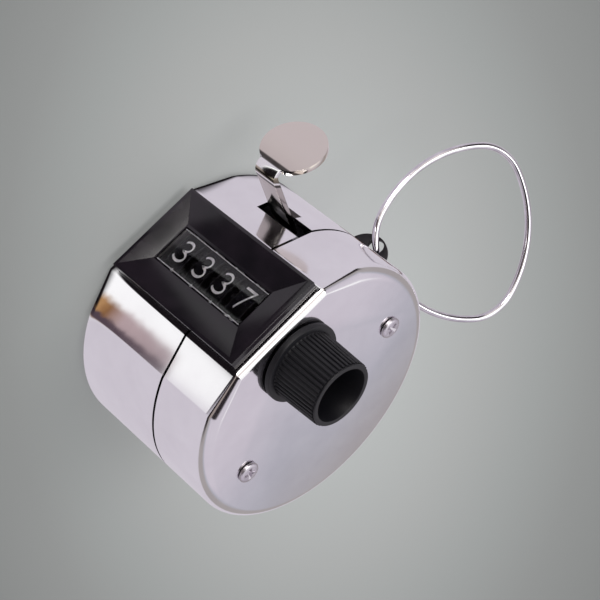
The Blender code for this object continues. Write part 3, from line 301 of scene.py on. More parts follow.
def bevel_and_bake(piece, width, segments, angle, smooth_angle=35.0):
    step = piece.modifiers.new("edge_round", "BEVEL")
    step.width = width
    step.segments = segments
    step.limit_method = "ANGLE"
    step.angle_limit = radians(angle)
    return bake_modifiers(piece, smooth_angle)


# Materials

def linear(tone):
    """Linear colour of an sRGB hex code such as 'c8c2cb'; a colour that is linear already is kept."""
    if not isinstance(tone, str):
        return (*tone, 1.0)
    channels = []
    for i in (0, 2, 4):
        value = int(tone[i:i + 2], 16) / 255
        channels.append(value / 12.92 if value <= 0.04045 else ((value + 0.055) / 1.055) ** 2.4)
    return (*channels, 1.0)


def connect(tree, node, inputs):
    """Link each named input to a socket, or set it to a value or hex code."""
    for key, value in inputs.items():
        if isinstance(value, bpy.types.NodeSocket):
            tree.links.new(value, node.inputs[key])
        else:
            node.inputs[key].default_value = linear(value) if isinstance(value, str) else value


def add_node(tree, kind, inputs=None, stops=(), **settings):
    """Add a node with its settings, inputs and (place, tone) stops; gives its first live output.

    A shader node goes by its name without 'ShaderNode', any other by its full name."""
    node = tree.nodes.new(kind if kind.startswith("Geometry") else "ShaderNode" + kind)
    for key, value in settings.items():
        setattr(node, key, value)
    connect(tree, node, inputs or {})
    if stops:
        elements = node.color_ramp.elements
        while len(elements) < len(stops):
            elements.new(0.5)
        for element, (position, tone) in zip(elements, stops):
            element.position = position
            element.color = linear(tone)
    return next(socket for socket in node.outputs if socket.enabled)


def new_material(name):
    material = bpy.data.materials.new(name)
    material.use_nodes = True
    tree = material.node_tree
    return material, tree, tree.nodes["Principled BSDF"], add_node(tree, "TexCoord").node.outputs["Object"]


def speckle(per_mm, detail=3.0, rough=0.5):
    """Pattern of noise whose features are about 1/per_mm millimetres across."""
    return "TexNoise", "Fac", {"Scale": per_mm / MM, "Detail": detail, "Roughness": rough}, {}


def grown(tree, coords, pattern):
    """Value of a pattern: node kind, output, inputs and settings."""
    kind, output, inputs, settings = pattern
    return add_node(tree, kind, {"Vector": coords, **inputs}, **settings).node.outputs[output]


def bend_painted_reflection(tree, coords, rub):
    """Nickel's colour along the lever: painted reflection bands, dark and white, across the bend, under
    rubbed patches.
    """
    add = partial(add_node, tree)
    across = add("VectorMath", {0: coords, 1: BEND_AXIS}, operation="DOT_PRODUCT")
    along = add("MapRange", {"Value": across, "From Min": BEND_START, "From Max": BEND_END})
    # painted reflection: dark, white and olive bands laid across the bend
    painted_bands = add("ValToRGB", {"Fac": along}, BEND_REFLECTION_TONES)
    noisy = add("MapRange", {"Value": rub, "To Max": 0.2})
    return add("Mix", {0: noisy, 6: painted_bands, 7: "f4ece4"}, data_type="RGBA")


def finished(name, pattern, tones, gloss, values, relief, chosen):
    """Material whose colour and roughness follow one pattern; None in its tones is the chosen colour."""
    material, tree, shader, coords = new_material(name)
    add = partial(add_node, tree)
    value = grown(tree, coords, pattern)
    if callable(tones):
        inputs = {"Base Color": tones(tree, coords, value)}
    else:
        stops = [(place_on_ramp, tone or chosen) for place_on_ramp, tone in tones]
        inputs = {"Base Color": add("ValToRGB", {"Fac": value}, stops)}
    if isinstance(gloss, tuple):
        gloss = add("MapRange", {"Value": value, "To Min": gloss[0], "To Max": gloss[1]})
    inputs["Roughness"] = gloss
    if relief:
        surface, depth, strength = relief
        inputs["Normal"] = add("Bump", {
            "Height": grown(tree, coords, surface), "Distance": depth * MM, "Strength": strength})
    connect(tree, shader, {**inputs, **values})
    return material


METAL = {"Metallic": 1.0}
LATHE_RINGS = ("TexWave", "Fac", {"Scale": 1.5 / MM, "Distortion": 1.0},
               {"wave_type": "RINGS", "rings_direction": "Z"})
SPANGLE = ("TexVoronoi", "Distance", {"Scale": 1.2 / MM}, {})

# Each finish: real name, pattern, tones, roughness, other values, relief (pattern, depth in mm, strength)
RECIPES = {
    # Decorative chrome on pressed steel: mirror-like, faintly wavy from the press and finger-hazed
    "chrome_plated_steel": (
        "decorative chrome plate", speckle(0.12, 4.0, 0.6), ((0.3, "f3f1f4"), (0.7, None)),
        (0.07, 0.15), METAL, (speckle(0.10, 2.0), 0.02, 0.4)),
    # Bright nickel on the thumb lever: warmer and softer than the chrome, with rub marks and painted
    # reflection bands across its bend
    "nickel_plated_steel": ("bright nickel plate", speckle(0.5, 5.0, 0.65), bend_painted_reflection,
                            (0.09, 0.18), METAL, (speckle(0.2, 2.0), 0.02, 0.5)),
    # Chrome-plated spring-steel wire of the finger ring: bright with drawn-wire streaks
    "ring_wire": ("chrome plated spring wire", speckle(0.4), ((0.3, "cfcbd2"), (0.7, None)),
                  (0.08, 0.20), METAL, None),
    # Dull nickel on the case screws: brushed by the driver, softer than the case
    "screw_plate": ("dull nickel screw plate", speckle(1.2, 4.0), ((0.3, "cfc9d1"), (0.7, "e4dfe6")),
                    (0.26, 0.38), METAL, None),
    # Gloss-moulded ABS of the window frame: warm black, shallow moulding ripple
    "gloss_black_plastic": ("gloss moulded ABS", speckle(0.25), ((0.3, "19161b"), (0.7, None)),
                            (0.14, 0.24), {"IOR": 1.5}, (speckle(0.25), 0.02, 0.4)),
    # Dull moulded nylon of the reset knob: blue-black, fine spark-eroded grain
    "matt_black_plastic": ("spark textured nylon", speckle(6.0), ((0.3, "07070d"), (0.7, None)),
                           (0.42, 0.56), {"IOR": 1.53}, (speckle(6.0), 0.03, 0.5)),
    # Satin black acetal of the number wheels: near black with a blue-violet speckle
    "wheel_plastic": (
        "satin acetal", speckle(4.0, 4.0, 0.6), ((0.35, "020204"), (0.55, "09080f"), (0.7, "1b1728")),
        (0.34, 0.46), {"Specular IOR Level": 0.12}, None),
    # White pad-printed ink: thin, matt, slightly uneven where the pad lifted
    "digit_ink": ("pad printed ink", speckle(2.5), ((0.25, "dcdae1"), (0.6, None)), 0.6, {}, None),
    # Clear acrylic window: no colour, hardly any gloss of its own
    "clear_acrylic": ("clear acrylic", speckle(0.6, 2.0), ((0.3, "f6f6f8"), (0.7, "ffffff")),
                      (0.02, 0.05), {"IOR": 1.49, "Transmission Weight": 1.0}, None),
    # Saw-cut edge of the acrylic window: frosted white, scratched along the cut, its pale grey also a
    # painted highlight line along the window's long edges
    "cut_acrylic": ("saw cut acrylic edge", speckle(2.0, 4.0), ((0.3, "8e8c92"), (0.7, "c6c4ca")),
                    0.5, {}, None),
    # Blackened sheet steel of the ring lug: satin, a little grey along rubbed patches
    "black_oxide_steel": ("black oxide steel", speckle(0.8, 4.0), ((0.3, "100f12"), (0.75, "2b292c")),
                          (0.35, 0.55), {"Metallic": 0.5}, None),
    # Bright zinc plate on the inner steel parts: grey with a faint spangle
    "zinc_plated_steel": ("bright zinc plate", SPANGLE, ((0.1, "9fa1a4"), (0.8, "bfc1c3")),
                          (0.28, 0.42), METAL, None),
    # Free-cutting brass turned on a lathe: yellow with fine tool rings
    "turned_brass": ("turned brass", LATHE_RINGS, ((0.2, "b08a4a"), (0.8, "cfae6c")),
                     (0.25, 0.38), METAL, None),
}
FINISHES = {}


def finish(name):
    """Finish shared between the operators, made when it is first asked for."""
    if name not in FINISHES:
        chosen = getattr(bpy.context.scene.tally_finishes, name, None)
        FINISHES[name] = finished(*RECIPES[name], chosen)
    return FINISHES[name]


# Case cups

def shoulder_corner(inset):
    """Where the platform meets the shoulder, and where the shoulder meets the round wall."""
    crease = Vector((CASE_RADIUS * sin(CREASE_ANGLE), CASE_RADIUS * cos(CREASE_ANGLE)))
    edge = Vector((PLATFORM_HALF_WIDTH, PLATFORM_OUT))
    run = (crease - edge).normalized()
    inward = Vector((run.y, -run.x))
    if inward.y > 0:
        inward = -inward
    start = edge + inward * inset
    level = PLATFORM_OUT - inset
    top = start + run * ((level - start.y) / run.y)
    along_run = start.dot(run)
    beyond = sqrt(along_run**2 - start.length_squared + (CASE_RADIUS - inset)**2)
    foot = start + run * (beyond - along_run)
    return top, foot


def case_section(inset, wall_steps):
    """Case outline with its flat platform and straight shoulders, drawn in by the inset."""
    top, foot = shoulder_corner(inset)
    radius = CASE_RADIUS - inset
    crease = atan2(foot.x, foot.y)
    slope = atan2(top.y - foot.y, foot.x - top.x)
    corner = max(PLATFORM_CORNER - inset, 0.25 * PLATFORM_CORNER)
    setback = corner * tan(slope / 2)
    half = [(top.x * share, top.y) for share in (0.0, 0.3, 0.6)]
    half += arc_points(top.x - setback, top.y - corner, corner, 0.0, slope, 8)
    last = Vector(half[-1])
    half += [tuple(last.lerp(foot, share)) for share in (0.25, 0.5, 0.75, 0.94)]
    wall = arc_points(0.0, 0.0, radius, crease, 2 * pi - crease, wall_steps)
    mirrored = [(-up, out) for up, out in reversed(half[1:])]
    return half + wall + mirrored


def edge_fillet(out):
    """Fillet at the flat face: small along the platform, full on the round wall."""
    crease_out = CASE_RADIUS * cos(CREASE_ANGLE)
    share = min(max((out - crease_out) / (PLATFORM_OUT - crease_out), 0.0), 1.0)
    return FACE_FILLET + (PLATFORM_FILLET - FACE_FILLET) * share


def inward_normals(section):
    normals = []
    for i, point in enumerate(section):
        run = (Vector(section[(i + 1) % len(section)]) - Vector(section[i - 1])).normalized()
        side = Vector((-run.y, run.x))
        normals.append(side if side.dot(Vector(point)) < 0 else -side)
    return normals


def filleted_rings(inset, face, inward_sign, shrink, steps, wall_steps):
    """Rings that round the edge between the wall and a flat face; inward_sign points inside."""
    section = case_section(inset, wall_steps)
    normals = inward_normals(section)
    sizes = [max(edge_fillet(out) - shrink, PLATFORM_FILLET / 4)
             for up, out in case_section(0.0, wall_steps)]
    rings = []
    for turn in turns(0.0, pi / 2, steps):
        ring = []
        for (up, out), normal, size in zip(section, normals, sizes):
            shift = size * (1 - sin(turn))
            rise = size * (1 - cos(turn))
            ring.append(place(up + normal.x * shift, out + normal.y * shift, face + inward_sign * rise))
        rings.append(ring)
    return rings


def angle_wedge(low, high, inner, outer):
    """Outline of a wedge between two angles from out towards up."""
    return [(radius * sin(turn), radius * cos(turn))
            for radius, turn in ((inner, low), (outer, low), (outer, high), (inner, high))]


def cup(name, face, rim, inward_sign, props, cutters, material):
    steps = props.wall_steps
    inner_face = face + inward_sign * CASE_WALL
    rings = filleted_rings(0.0, face, inward_sign, 0.0, props.fillet_steps, steps)
    rings += layers(case_section(0.0, steps), rim) + layers(case_section(CASE_WALL, steps), rim)
    rings += filleted_rings(CASE_WALL, inner_face, inward_sign, CASE_WALL, INNER_FILLET_STEPS, steps)[::-1]
    return cut_and_bake(skinned(name, rings, [material], CUP_ANGLE), cutters, CUP_ANGLE)


def window_cutter(name):
    half = WINDOW_HALF_HEIGHT + WINDOW_MARGIN
    outline = box_outline(-half, half, PLATFORM_OUT - 3 * CASE_WALL, PLATFORM_OUT + CASE_WALL)
    return skinned(name, layers(outline, WINDOW_START - SEAT_GAP, WINDOW_END + SEAT_GAP))


def round_cutter(name, radius, up, out):
    return skinned(name, [circle(radius, along, up, out, HOLE_FACETS)
                          for along in (CASE_DEPTH - 3 * CASE_WALL, CASE_DEPTH + CASE_WALL)])


def rear_cutters():
    inner = CASE_RADIUS - 6 * CASE_WALL
    outer = CASE_RADIUS + 4 * CASE_WALL
    past = REAR_DEPTH + CASE_WALL
    middle = (SLOT_LOW_ANGLE + SLOT_HIGH_ANGLE) / 2
    narrow = angle_wedge(SLOT_LOW_ANGLE, SLOT_HIGH_ANGLE, inner, outer)
    wide = angle_wedge(middle, SLOT_WIDE_ANGLE, inner, outer)
    half = BRACKET_THICKNESS / 2 + SEAT_GAP
    lug = box_outline(BRACKET_OUTER_UP - 2 * CASE_WALL, CASE_RADIUS + CASE_WALL,
                      BRACKET_OUT - half, BRACKET_OUT + half)
    return [window_cutter("rear_window_cut"), skinned("slot_cut", layers(narrow, SLOT_START, past)),
            skinned("swing_cut", layers(wide, SLOT_START, SLOT_STEP)),
            skinned("lug_cut", layers(lug, LUG_ALONG - LUG_RADIUS - SEAT_GAP, past))]


# Window frame, lens and number wheels

def rectangle(half_width, start, end, out, high_margin=0.0):
    high = half_width + high_margin
    return [place(-half_width, out, start), place(high, out, start),
            place(high, out, end), place(-half_width, out, end)]


def window_frame(props, material):
    """Moulded frame: thin rim, four long sloping faces, a flat lip at the window, wider on top."""
    lip = props.lip_width
    foot = BEZEL_TOP - FUNNEL_DEPTH
    rings = [
        rectangle(WINDOW_HALF_HEIGHT, WINDOW_START, WINDOW_END, BEZEL_FLOOR),
        rectangle(BEZEL_HALF_WIDTH, BEZEL_START, BEZEL_END, BEZEL_FLOOR),
        rectangle(BEZEL_HALF_WIDTH, BEZEL_START, BEZEL_END, BEZEL_TOP),
        rectangle(BEZEL_HALF_WIDTH - BEZEL_RIM, BEZEL_START + BEZEL_RIM, BEZEL_END - BEZEL_END_RIM,
                  BEZEL_TOP),
        rectangle(WINDOW_HALF_HEIGHT + lip, WINDOW_START - lip, WINDOW_END + lip, foot, props.high_lip),
        rectangle(WINDOW_HALF_HEIGHT, WINDOW_START, WINDOW_END, foot),
    ]
    piece = skinned("moulded_window_frame", rings, [material], capped=False)
    return bevel_and_bake(piece, props.edge_round, 3, 8.0, 25.0)


def lens_sheet(props, clear, frosted):
    """Clear sheet whose two long upper edges are saw-cut and frosted, their pale tone a painted highlight
    line.
    """
    top = BEZEL_TOP - FUNNEL_DEPTH - LENS_DROP
    half = WINDOW_HALF_HEIGHT - LENS_GAP
    cut = props.cut_edge
    start = WINDOW_START + LENS_GAP
    end = WINDOW_END - LENS_GAP
    sheet = skinned("window_sheet", [
        rectangle(half, start, end, top - LENS_THICKNESS), rectangle(half, start, end, top - cut / 2),
        rectangle(half - cut, start, end, top)], [clear, frosted])
    # the edge strips take the pale frosted finish, which is also a painted highlight line
    for face in sheet.data.polygons:
        if abs(face.center.x) > half - cut and face.center.y < cut / 3 - top:
            face.material_index = 1
    return sheet


def arc_stroke(centre_x, centre_y, radius_x, radius_y, start, end, steps=14):
    """Part of an ellipse as (x, y) points; angles in degrees, anticlockwise from +x."""
    return [(centre_x + radius_x * cos(turn), centre_y + radius_y * sin(turn))
            for turn in map(radians, turns(start, end, steps))]


def digit_strokes(digit):
    """Middle lines of a digit in a box 2 wide and 2 high about its centre."""
    ring = arc_stroke(0.0, 0.0, 0.92, 1.0, 90, 450, 28)
    low_bowl = arc_stroke(0.0, -0.42, 0.95, 0.58, 90, 450, 24)
    table = {
        0: [ring],
        1: [[(-0.45, 0.62), (0.1, 1.0), (0.1, -1.0)]],
        2: [arc_stroke(0.0, 0.45, 0.9, 0.55, 165, -25) + [(-0.95, -1.0), (0.95, -1.0)]],
        3: [arc_stroke(-0.02, 0.5, 0.82, 0.5, 150, -90) + arc_stroke(-0.05, -0.5, 0.98, 0.5, 90, -155)],
        4: [[(0.45, -1.0), (0.45, 1.0), (-1.0, -0.42), (1.0, -0.42)]],
        5: [[(0.8, 1.0), (-0.68, 1.0), (-0.8, 0.12)] + arc_stroke(-0.05, -0.4, 0.95, 0.6, 125, -150)],
        6: [arc_stroke(0.35, 0.1, 1.28, 0.9, 72, 180, 10) + [(-0.95, -0.4)], low_bowl],
        7: [[(-0.95, 1.0), (0.95, 1.0), (-0.35, -1.0)]],
        8: [arc_stroke(0.0, 0.52, 0.75, 0.48, 90, 450, 22), low_bowl],
        9: [arc_stroke(0.0, 0.42, 0.92, 0.58, 90, 450, 24),
            [(0.92, 0.42)] + arc_stroke(-0.35, -0.1, 1.27, 0.9, 0, -108, 10)],
    }
    return table[digit]


def fine_line(points, step):
    """The same line with points no further apart than a step, so that it can follow the rim."""
    line = [Vector(points[0])]
    for point in points[1:]:
        start = line[-1].copy()
        run = Vector(point) - start
        parts = max(1, ceil(run.length / step))
        line += [start + run * (k / parts) for k in range(1, parts + 1)]
    return line


def ink_ribbon(bm, points, half_stroke, wrap):
    """Flat ribbon of even width along a line of points, laid on the wheel by wrap(x, y)."""
    line = fine_line(points, STROKE_STEP)
    closed = (line[0] - line[-1]).length < 1e-6
    if closed:
        line.pop()
    count = len(line)
    sides = []
    for i, point in enumerate(line):
        before = line[i - 1] if closed or i > 0 else point
        after = line[(i + 1) % count] if closed or i < count - 1 else point
        run_in = (point - before).normalized() if point != before else (after - point).normalized()
        run_out = (after - point).normalized() if after != point else run_in
        across = Vector((-(run_in.y + run_out.y), run_in.x + run_out.x))
        if across.length < 1e-9:
            across = Vector((-run_in.y, run_in.x))
        across.normalize()
        mitre = min(1.0 / max(across.dot(Vector((-run_in.y, run_in.x))), MITRE_COSINE), MITRE_MOST)
        sides.append([bm.verts.new(wrap(*(point + across * half_stroke * mitre * side)))
                      for side in (1, -1)])
    for i in range(count if closed else count - 1):
        near, far = sides[i], sides[(i + 1) % count]
        bm.faces.new((near[0], far[0], far[1], near[1])).material_index = 1


def number_wheel(name, index, props, wheel_material, ink_material):
    """Wheel rim with soft edges and ten printed digits; the shown digit faces the window."""
    middle = FIRST_WHEEL + WHEEL_PITCH * index
    half = RIM_WIDTH / 2
    soft = props.rim_round
    profile = [(BORE_RADIUS, -half), *soft_edge(WHEEL_RADIUS, -half, -soft, soft),
               *soft_edge(WHEEL_RADIUS, half, -soft, -soft)[::-1], (BORE_RADIUS, half)]
    wheel = skinned(name + "_number_wheel", [
        circle(radius, middle + along, out=SHAFT_OUT, steps=WHEEL_FACETS) for radius, along in profile],
        [wheel_material, ink_material], RIM_ANGLE, capped=False)
    printed = bmesh.new()
    printed.from_mesh(wheel.data)
    surface = WHEEL_RADIUS + INK_HEIGHT
    for digit in range(10):
        centre = props.print_turn - (digit - SHOWN_DIGITS[name]) * DIGIT_TURN

        def wrap(x, y, centre=centre):
            turn = centre + y * props.digit_height / 2 / WHEEL_RADIUS
            return place(surface * sin(turn), SHAFT_OUT + surface * cos(turn),
                         middle + props.print_shift + x * props.digit_width / 2)

        for stroke in digit_strokes(digit):
            ink_ribbon(printed, stroke, props.stroke_width / props.digit_height, wrap)
    printed.to_mesh(wheel.data)
    printed.free()
    return wheel


# Thumb lever

def bent_path(strip_steps, bend_steps):
    """Middle line of the thumb strip: up the strip, round the bend and out along the paddle."""
    lean = Vector((sin(STRIP_TILT), cos(STRIP_TILT)))
    sideways = Vector((lean.y, -lean.x))
    foot = Vector((STRIP_FOOT_UP, STRIP_FOOT_OUT)) + sideways * (STRIP_THICKNESS / 2)
    path = [(foot + lean * (STRIP_RISE * k / strip_steps), lean) for k in range(strip_steps + 1)]
    centre = path[-1][0] + sideways * BEND_RADIUS
    turn_total = pi / 2 + PADDLE_TILT - STRIP_TILT
    for turn in turns(0.0, turn_total, bend_steps)[1:]:
        heading = lean * cos(turn) + sideways * sin(turn)
        across = sideways * cos(turn) - lean * sin(turn)
        path.append((centre - across * BEND_RADIUS, heading))
    return path


def thumb_strip(props, material):
    """Bent sheet: strip, bend and round paddle, with its edges rounded by tumbling."""
    rows = [(spot, heading, STRIP_WIDTH / 2) for spot, heading in bent_path(STRIP_STEPS, BEND_STEPS)]
    spot, heading = rows[-1][:2]
    first = acos(-PADDLE_REACH / PADDLE_RADIUS)
    for k in range(1, PADDLE_STEPS + 1):
        turn = first * (1 - k / PADDLE_STEPS) + PADDLE_LAST_TURN * (k / PADDLE_STEPS)
        distance = PADDLE_REACH + PADDLE_RADIUS * cos(turn)
        rows.append((spot + heading * distance, heading, PADDLE_RADIUS * sin(turn)))
    middle = STRIP_START + STRIP_WIDTH / 2
    rings = []
    for spot, heading, half in rows:
        face = Vector((heading.y, -heading.x)) * (STRIP_THICKNESS / 2)
        rings.append([place(*(spot + face * side), middle + half * edge)
                      for side, edge in ((-1, -1), (-1, 1), (1, 1), (1, -1))])
    piece = skinned("bent_thumb_lever", rings, [material], SHEET_ANGLE)
    return bevel_and_bake(piece, props.edge_round, 3, SHEET_ANGLE, HEAD_ANGLE)


# Finger ring and lug

def ring_outline(arc_steps):
    """Middle line of the ring wire and the point on it that hangs in the lug hole."""
    reach = RING_SIDE / sqrt(3)
    third = 2 * pi / 3
    hung = RING_LEAN + third

    def heading(turn):
        return Vector((cos(turn), sin(turn)))

    points = []
    for k in range(3):
        corner = hung + third * k
        centre = heading(corner) * reach
        far_centre = heading(corner - third) * reach
        for start, middle, radius in ((corner, centre, RING_CORNER_RADIUS),
                                      (corner + third / 2, far_centre, RING_SIDE + RING_CORNER_RADIUS)):
            for step in range(arc_steps):
                turn = start + third / 2 * (step / arc_steps - 0.5)
                points.append(middle + heading(turn) * radius)
    anchor = heading(hung) * reach + heading(hung + RING_SLIP) * RING_CORNER_RADIUS
    return anchor, points


def wire_loop(props, material):
    up = place(1.0, 0.0, 0.0)
    across = place(0.0, cos(RING_TURN), -sin(RING_TURN))
    hole = place(RING_UP, BRACKET_OUT, RING_ALONG)
    anchor, outline = ring_outline(props.arc_steps)
    centres = [hole + up * (point.x - anchor.x) + across * (point.y - anchor.y) for point in outline]
    normal = up.cross(across).normalized()
    rings = []
    count = len(centres)
    for i, centre in enumerate(centres):
        run = (centres[(i + 1) % count] - centres[i - 1]).normalized()
        side = run.cross(normal)
        rings.append([centre + (side * cos(turn) + normal * sin(turn)) * RING_WIRE_RADIUS
                      for turn in turns(0.0, 2 * pi, props.wire_sides)[:-1]])
    return skinned("wire_finger_ring", rings, [material], WIRE_ANGLE, capped=False)


def ring_lug(props, material):
    """Half-round lug with its hole; the rest of its plate stays inside the case."""
    outline = [(BRACKET_OUTER_UP, LUG_ALONG - LUG_RADIUS)]
    for turn in turns(0.0, pi, LUG_STEPS):
        outline.append((LUG_UP + LUG_RADIUS * sin(turn), LUG_ALONG - LUG_RADIUS * cos(turn)))
    outline.append((BRACKET_OUTER_UP, LUG_ALONG + LUG_RADIUS))
    faces = (BRACKET_OUT - BRACKET_THICKNESS / 2, BRACKET_OUT + BRACKET_THICKNESS / 2)
    piece = skinned("blackened_ring_lug", [
        [place(up, out, along) for up, along in outline] for out in faces], [material])
    hole = skinned("lug_hole_cut", [
        [place(RING_UP + LUG_HOLE_RADIUS * cos(turn), out, RING_ALONG + LUG_HOLE_RADIUS * sin(turn))
         for turn in turns(0.0, 2 * pi, 40)[:-1]]
        for out in (faces[0] - BRACKET_THICKNESS, faces[1] + BRACKET_THICKNESS)])
    return bevel_and_bake(cut_and_bake(piece, [hole]), props.lug_round, 2, SHEET_ANGLE)


# Reset knob and screws, made with Geometry Nodes

def node_group(name, inputs):
    """Geometry Nodes tree with its own inputs and its copies'; gives the input sockets and the end too."""
    tree = bpy.data.node_groups.new(name, "GeometryNodeTree")
    for label, kind in (*inputs, *COPY_INPUTS):
        tree.interface.new_socket(name=label, in_out="INPUT", socket_type=kind)
    tree.interface.new_socket(name="Geometry", in_out="OUTPUT", socket_type="NodeSocketGeometry")
    return tree, tree.nodes.new("NodeGroupInput").outputs, tree.nodes.new("NodeGroupOutput")


def grown_mesh(name, tree, values, smooth_angle):
    """Run a tree on an empty mesh with its inputs set by identifier; give back a plain object."""
    carrier = added(bpy.data.objects.new(name, bpy.data.meshes.new(name)))
    step = carrier.modifiers.new(name, "NODES")
    step.node_group = tree
    for item in tree.interface.items_tree:
        if item.in_out == "INPUT" and item.name in values:
            step[item.identifier] = values[item.name]
    return bake_modifiers(carrier, smooth_angle)


def laid_copies(tree, given, out, shape, spot):
    """End of a tree: copies of a shape on points, each turned one step on, realized and painted."""
    add = partial(add_node, tree)
    index = add("GeometryNodeInputIndex")
    turn = add("Math", {0: index, 1: given["Turn Step"], 2: given["First Turn"]},
               operation="MULTIPLY_ADD")
    rotation = add("CombineXYZ", {"Z": turn})
    points = add("GeometryNodePoints", {"Count": given["Count"], "Position": spot})
    copies = add("GeometryNodeInstanceOnPoints", {
        "Points": points, "Instance": shape, "Rotation": rotation})
    plain = add("GeometryNodeRealizeInstances", {"Geometry": copies})
    painted = add("GeometryNodeSetMaterial", {"Geometry": plain, "Material": given["Material"]})
    tree.links.new(painted, out.inputs["Geometry"])


COPY_INPUTS = (("Count", "NodeSocketInt"), ("First Turn", "NodeSocketFloat"),
               ("Turn Step", "NodeSocketFloat"), ("Material", "NodeSocketMaterial"))


def grip_rib_tree():
    """Round-backed ribs along a tapered barrel, shared round it."""
    sizes = ("Foot Radius", "Tip Radius", "Foot Along", "Tip Along", "Rib Radius", "Shaft Level")
    tree, given, out = node_group("knob_grip_ribs", [(label, "NodeSocketFloat") for label in sizes])
    add = partial(add_node, tree)
    foot, tip = (add("CombineXYZ", {
        "X": given[end + " Radius"], "Z": given[end + " Along"]}) for end in ("Foot", "Tip"))
    line = add("GeometryNodeCurvePrimitiveLine", {"Start": foot, "End": tip})
    section = add("GeometryNodeCurvePrimitiveCircle", {"Resolution": 10, "Radius": given["Rib Radius"]})
    rib = add("GeometryNodeCurveToMesh", {"Fill Caps": True, "Curve": line, "Profile Curve": section})
    spot = add("CombineXYZ", {"Y": given["Shaft Level"]})
    laid_copies(tree, given, out, rib, spot)
    return tree


def screw_pair_tree():
    """Copies of one screw either side of the drum axis."""
    sizes = ("Reach", "Level", "Seat")
    tree, given, out = node_group("case_screw_pair", [("Screw", "NodeSocketObject")] + [
        (label, "NodeSocketFloat") for label in sizes])
    add = partial(add_node, tree)
    blank = add("GeometryNodeObjectInfo", {"Object": given["Screw"]})
    index = add("GeometryNodeInputIndex")
    side = add("Math", {0: index, 1: 2.0, 2: -1.0}, operation="MULTIPLY_ADD")
    sideways = add("Math", {0: side, 1: given["Reach"]}, operation="MULTIPLY")
    spot = add("CombineXYZ", {"X": sideways, "Y": given["Level"], "Z": given["Seat"]})
    laid_copies(tree, given, out, blank.node.outputs["Geometry"], spot)
    return tree


def knob_body(props, material):
    """Turned core of the knob: flange, tapered barrel, rounded mouth and blind bore."""
    base = CASE_DEPTH + SEAT_GAP
    shelf = base + props.flange_thickness
    tip = base + props.length
    floor = base + props.bore_floor
    flange = props.flange_radius
    bore = props.bore_radius
    core_foot = props.foot_radius - props.rib_radius
    core_tip = props.tip_radius - props.rib_radius
    soft = props.mouth_round
    profile = [
        (BORE_RADIUS, base), (flange - soft, base), (flange, base + soft),
        *soft_edge(flange, shelf, -soft, -soft)[::-1],
        (core_foot + soft, shelf), (core_foot, shelf + soft), (core_tip, tip - 2 * soft),
        *soft_edge(props.tip_radius - soft, tip, -soft, -soft)[::-1], *soft_edge(bore, tip, soft, -soft),
        (bore, floor + soft), (bore - soft, floor), (BORE_RADIUS, floor)]
    return skinned("knob_body", [
        circle(radius, along, out=SHAFT_OUT, steps=KNOB_FACETS) for radius, along in profile],
        [material], RIM_ANGLE)


def screw_blank(props, material):
    """Flat pan head with a cross recess, its seat at the world origin."""
    radius = props.head_radius
    height = props.head_height
    profile = [(0.5 * radius, -height * 0.2), (radius, 0.0), (radius, height * 0.25)]
    for turn in turns(0.0, pi / 2, 8)[1:]:
        profile.append((radius * (0.68 + 0.32 * cos(turn)), height * (0.25 + 0.45 * sin(turn))))
    profile.append((0.3 * radius, height * 0.74))
    head = skinned("screw_blank", [circle(reach, along, steps=HOLE_FACETS) for reach, along in profile],
                   [material], HEAD_ANGLE)
    rings = []
    for arm, half, level in CROSS_LEVELS:
        arm *= radius
        half *= radius
        outline = [(half, half), (half, arm), (-half, arm), (-half, half), (-arm, half), (-arm, -half),
                   (-half, -half), (-half, -arm), (half, -arm), (half, -half), (arm, -half), (arm, half)]
        rings += layers(outline, height * level)
    return cut_and_bake(head, [skinned("cross_recess_cut", rings)], HEAD_ANGLE)


# Pieces on their bodies

def settle(piece, body, node):
    """A finished piece rides on its body and stands for its node."""
    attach(piece, body)
    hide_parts(*node)


# Properties

def size(name, description, default_mm):
    return FloatProperty(name=name, description=description, default=default_mm * MM, unit="LENGTH")


def colour(name, description, code):
    return FloatVectorProperty(name=name, description=description, default=linear(code)[:3], size=3,
                               min=0.0, max=1.0, subtype="COLOR")


class FinishSettings(PropertyGroup):
    chrome_plated_steel: colour("Chrome", "Light tone of the chrome plate", "fcfbfd")
    ring_wire: colour("Ring Wire", "Light tone of the finger ring", "f0edf2")
    gloss_black_plastic: colour("Window Frame", "Light tone of the moulded window frame", "231d24")
    matt_black_plastic: colour("Knob", "Light tone of the reset knob", "0f0e17")
    digit_ink: colour("Digits", "Light tone of the printed digits", "fbfafd")


class CaseSettings(PropertyGroup):
    wall_steps: IntProperty(name="Wall Steps", description="Facets round the wall", default=150, min=24)
    fillet_steps: IntProperty(name="Fillet Steps", description="Facets across the face fillet",
                              default=10, min=2)
    bush_hole: size("Bush Hole", "Radius of the hole for the shaft bush", 3.1)
    screw_hole: size("Screw Hole", "Radius of the case screw holes", 1.2)


class WindowSettings(PropertyGroup):
    lip_width: size("Lip Width", "Flat lip at the foot of the sloping faces", 0.12)
    high_lip: size("High Lip", "Further width of the lip above the digits", 0.35)
    edge_round: size("Edge Round", "Rounding of the moulded edges", 0.10)
    # the pale edge strips are frosted cut edges and a painted highlight line both
    cut_edge: size("Cut Edge", "Width of the clear sheet's frosted edges", 0.12)


class WheelSettings(PropertyGroup):
    digit_height: size("Digit Height", "Height of a printed digit", 3.4)
    digit_width: size("Digit Width", "Width of a printed digit", 2.15)
    stroke_width: size("Stroke Width", "Width of the printed stroke", 0.42)
    print_turn: FloatProperty(name="Print Turn", description="Turn of the shown digits above the middle",
                              default=radians(2.2), subtype="ANGLE")
    print_shift: size("Print Shift", "Offset of the digits from the rim's middle", -0.22)
    rim_round: size("Rim Round", "Rounding of the wheel's rim edges", 0.2)


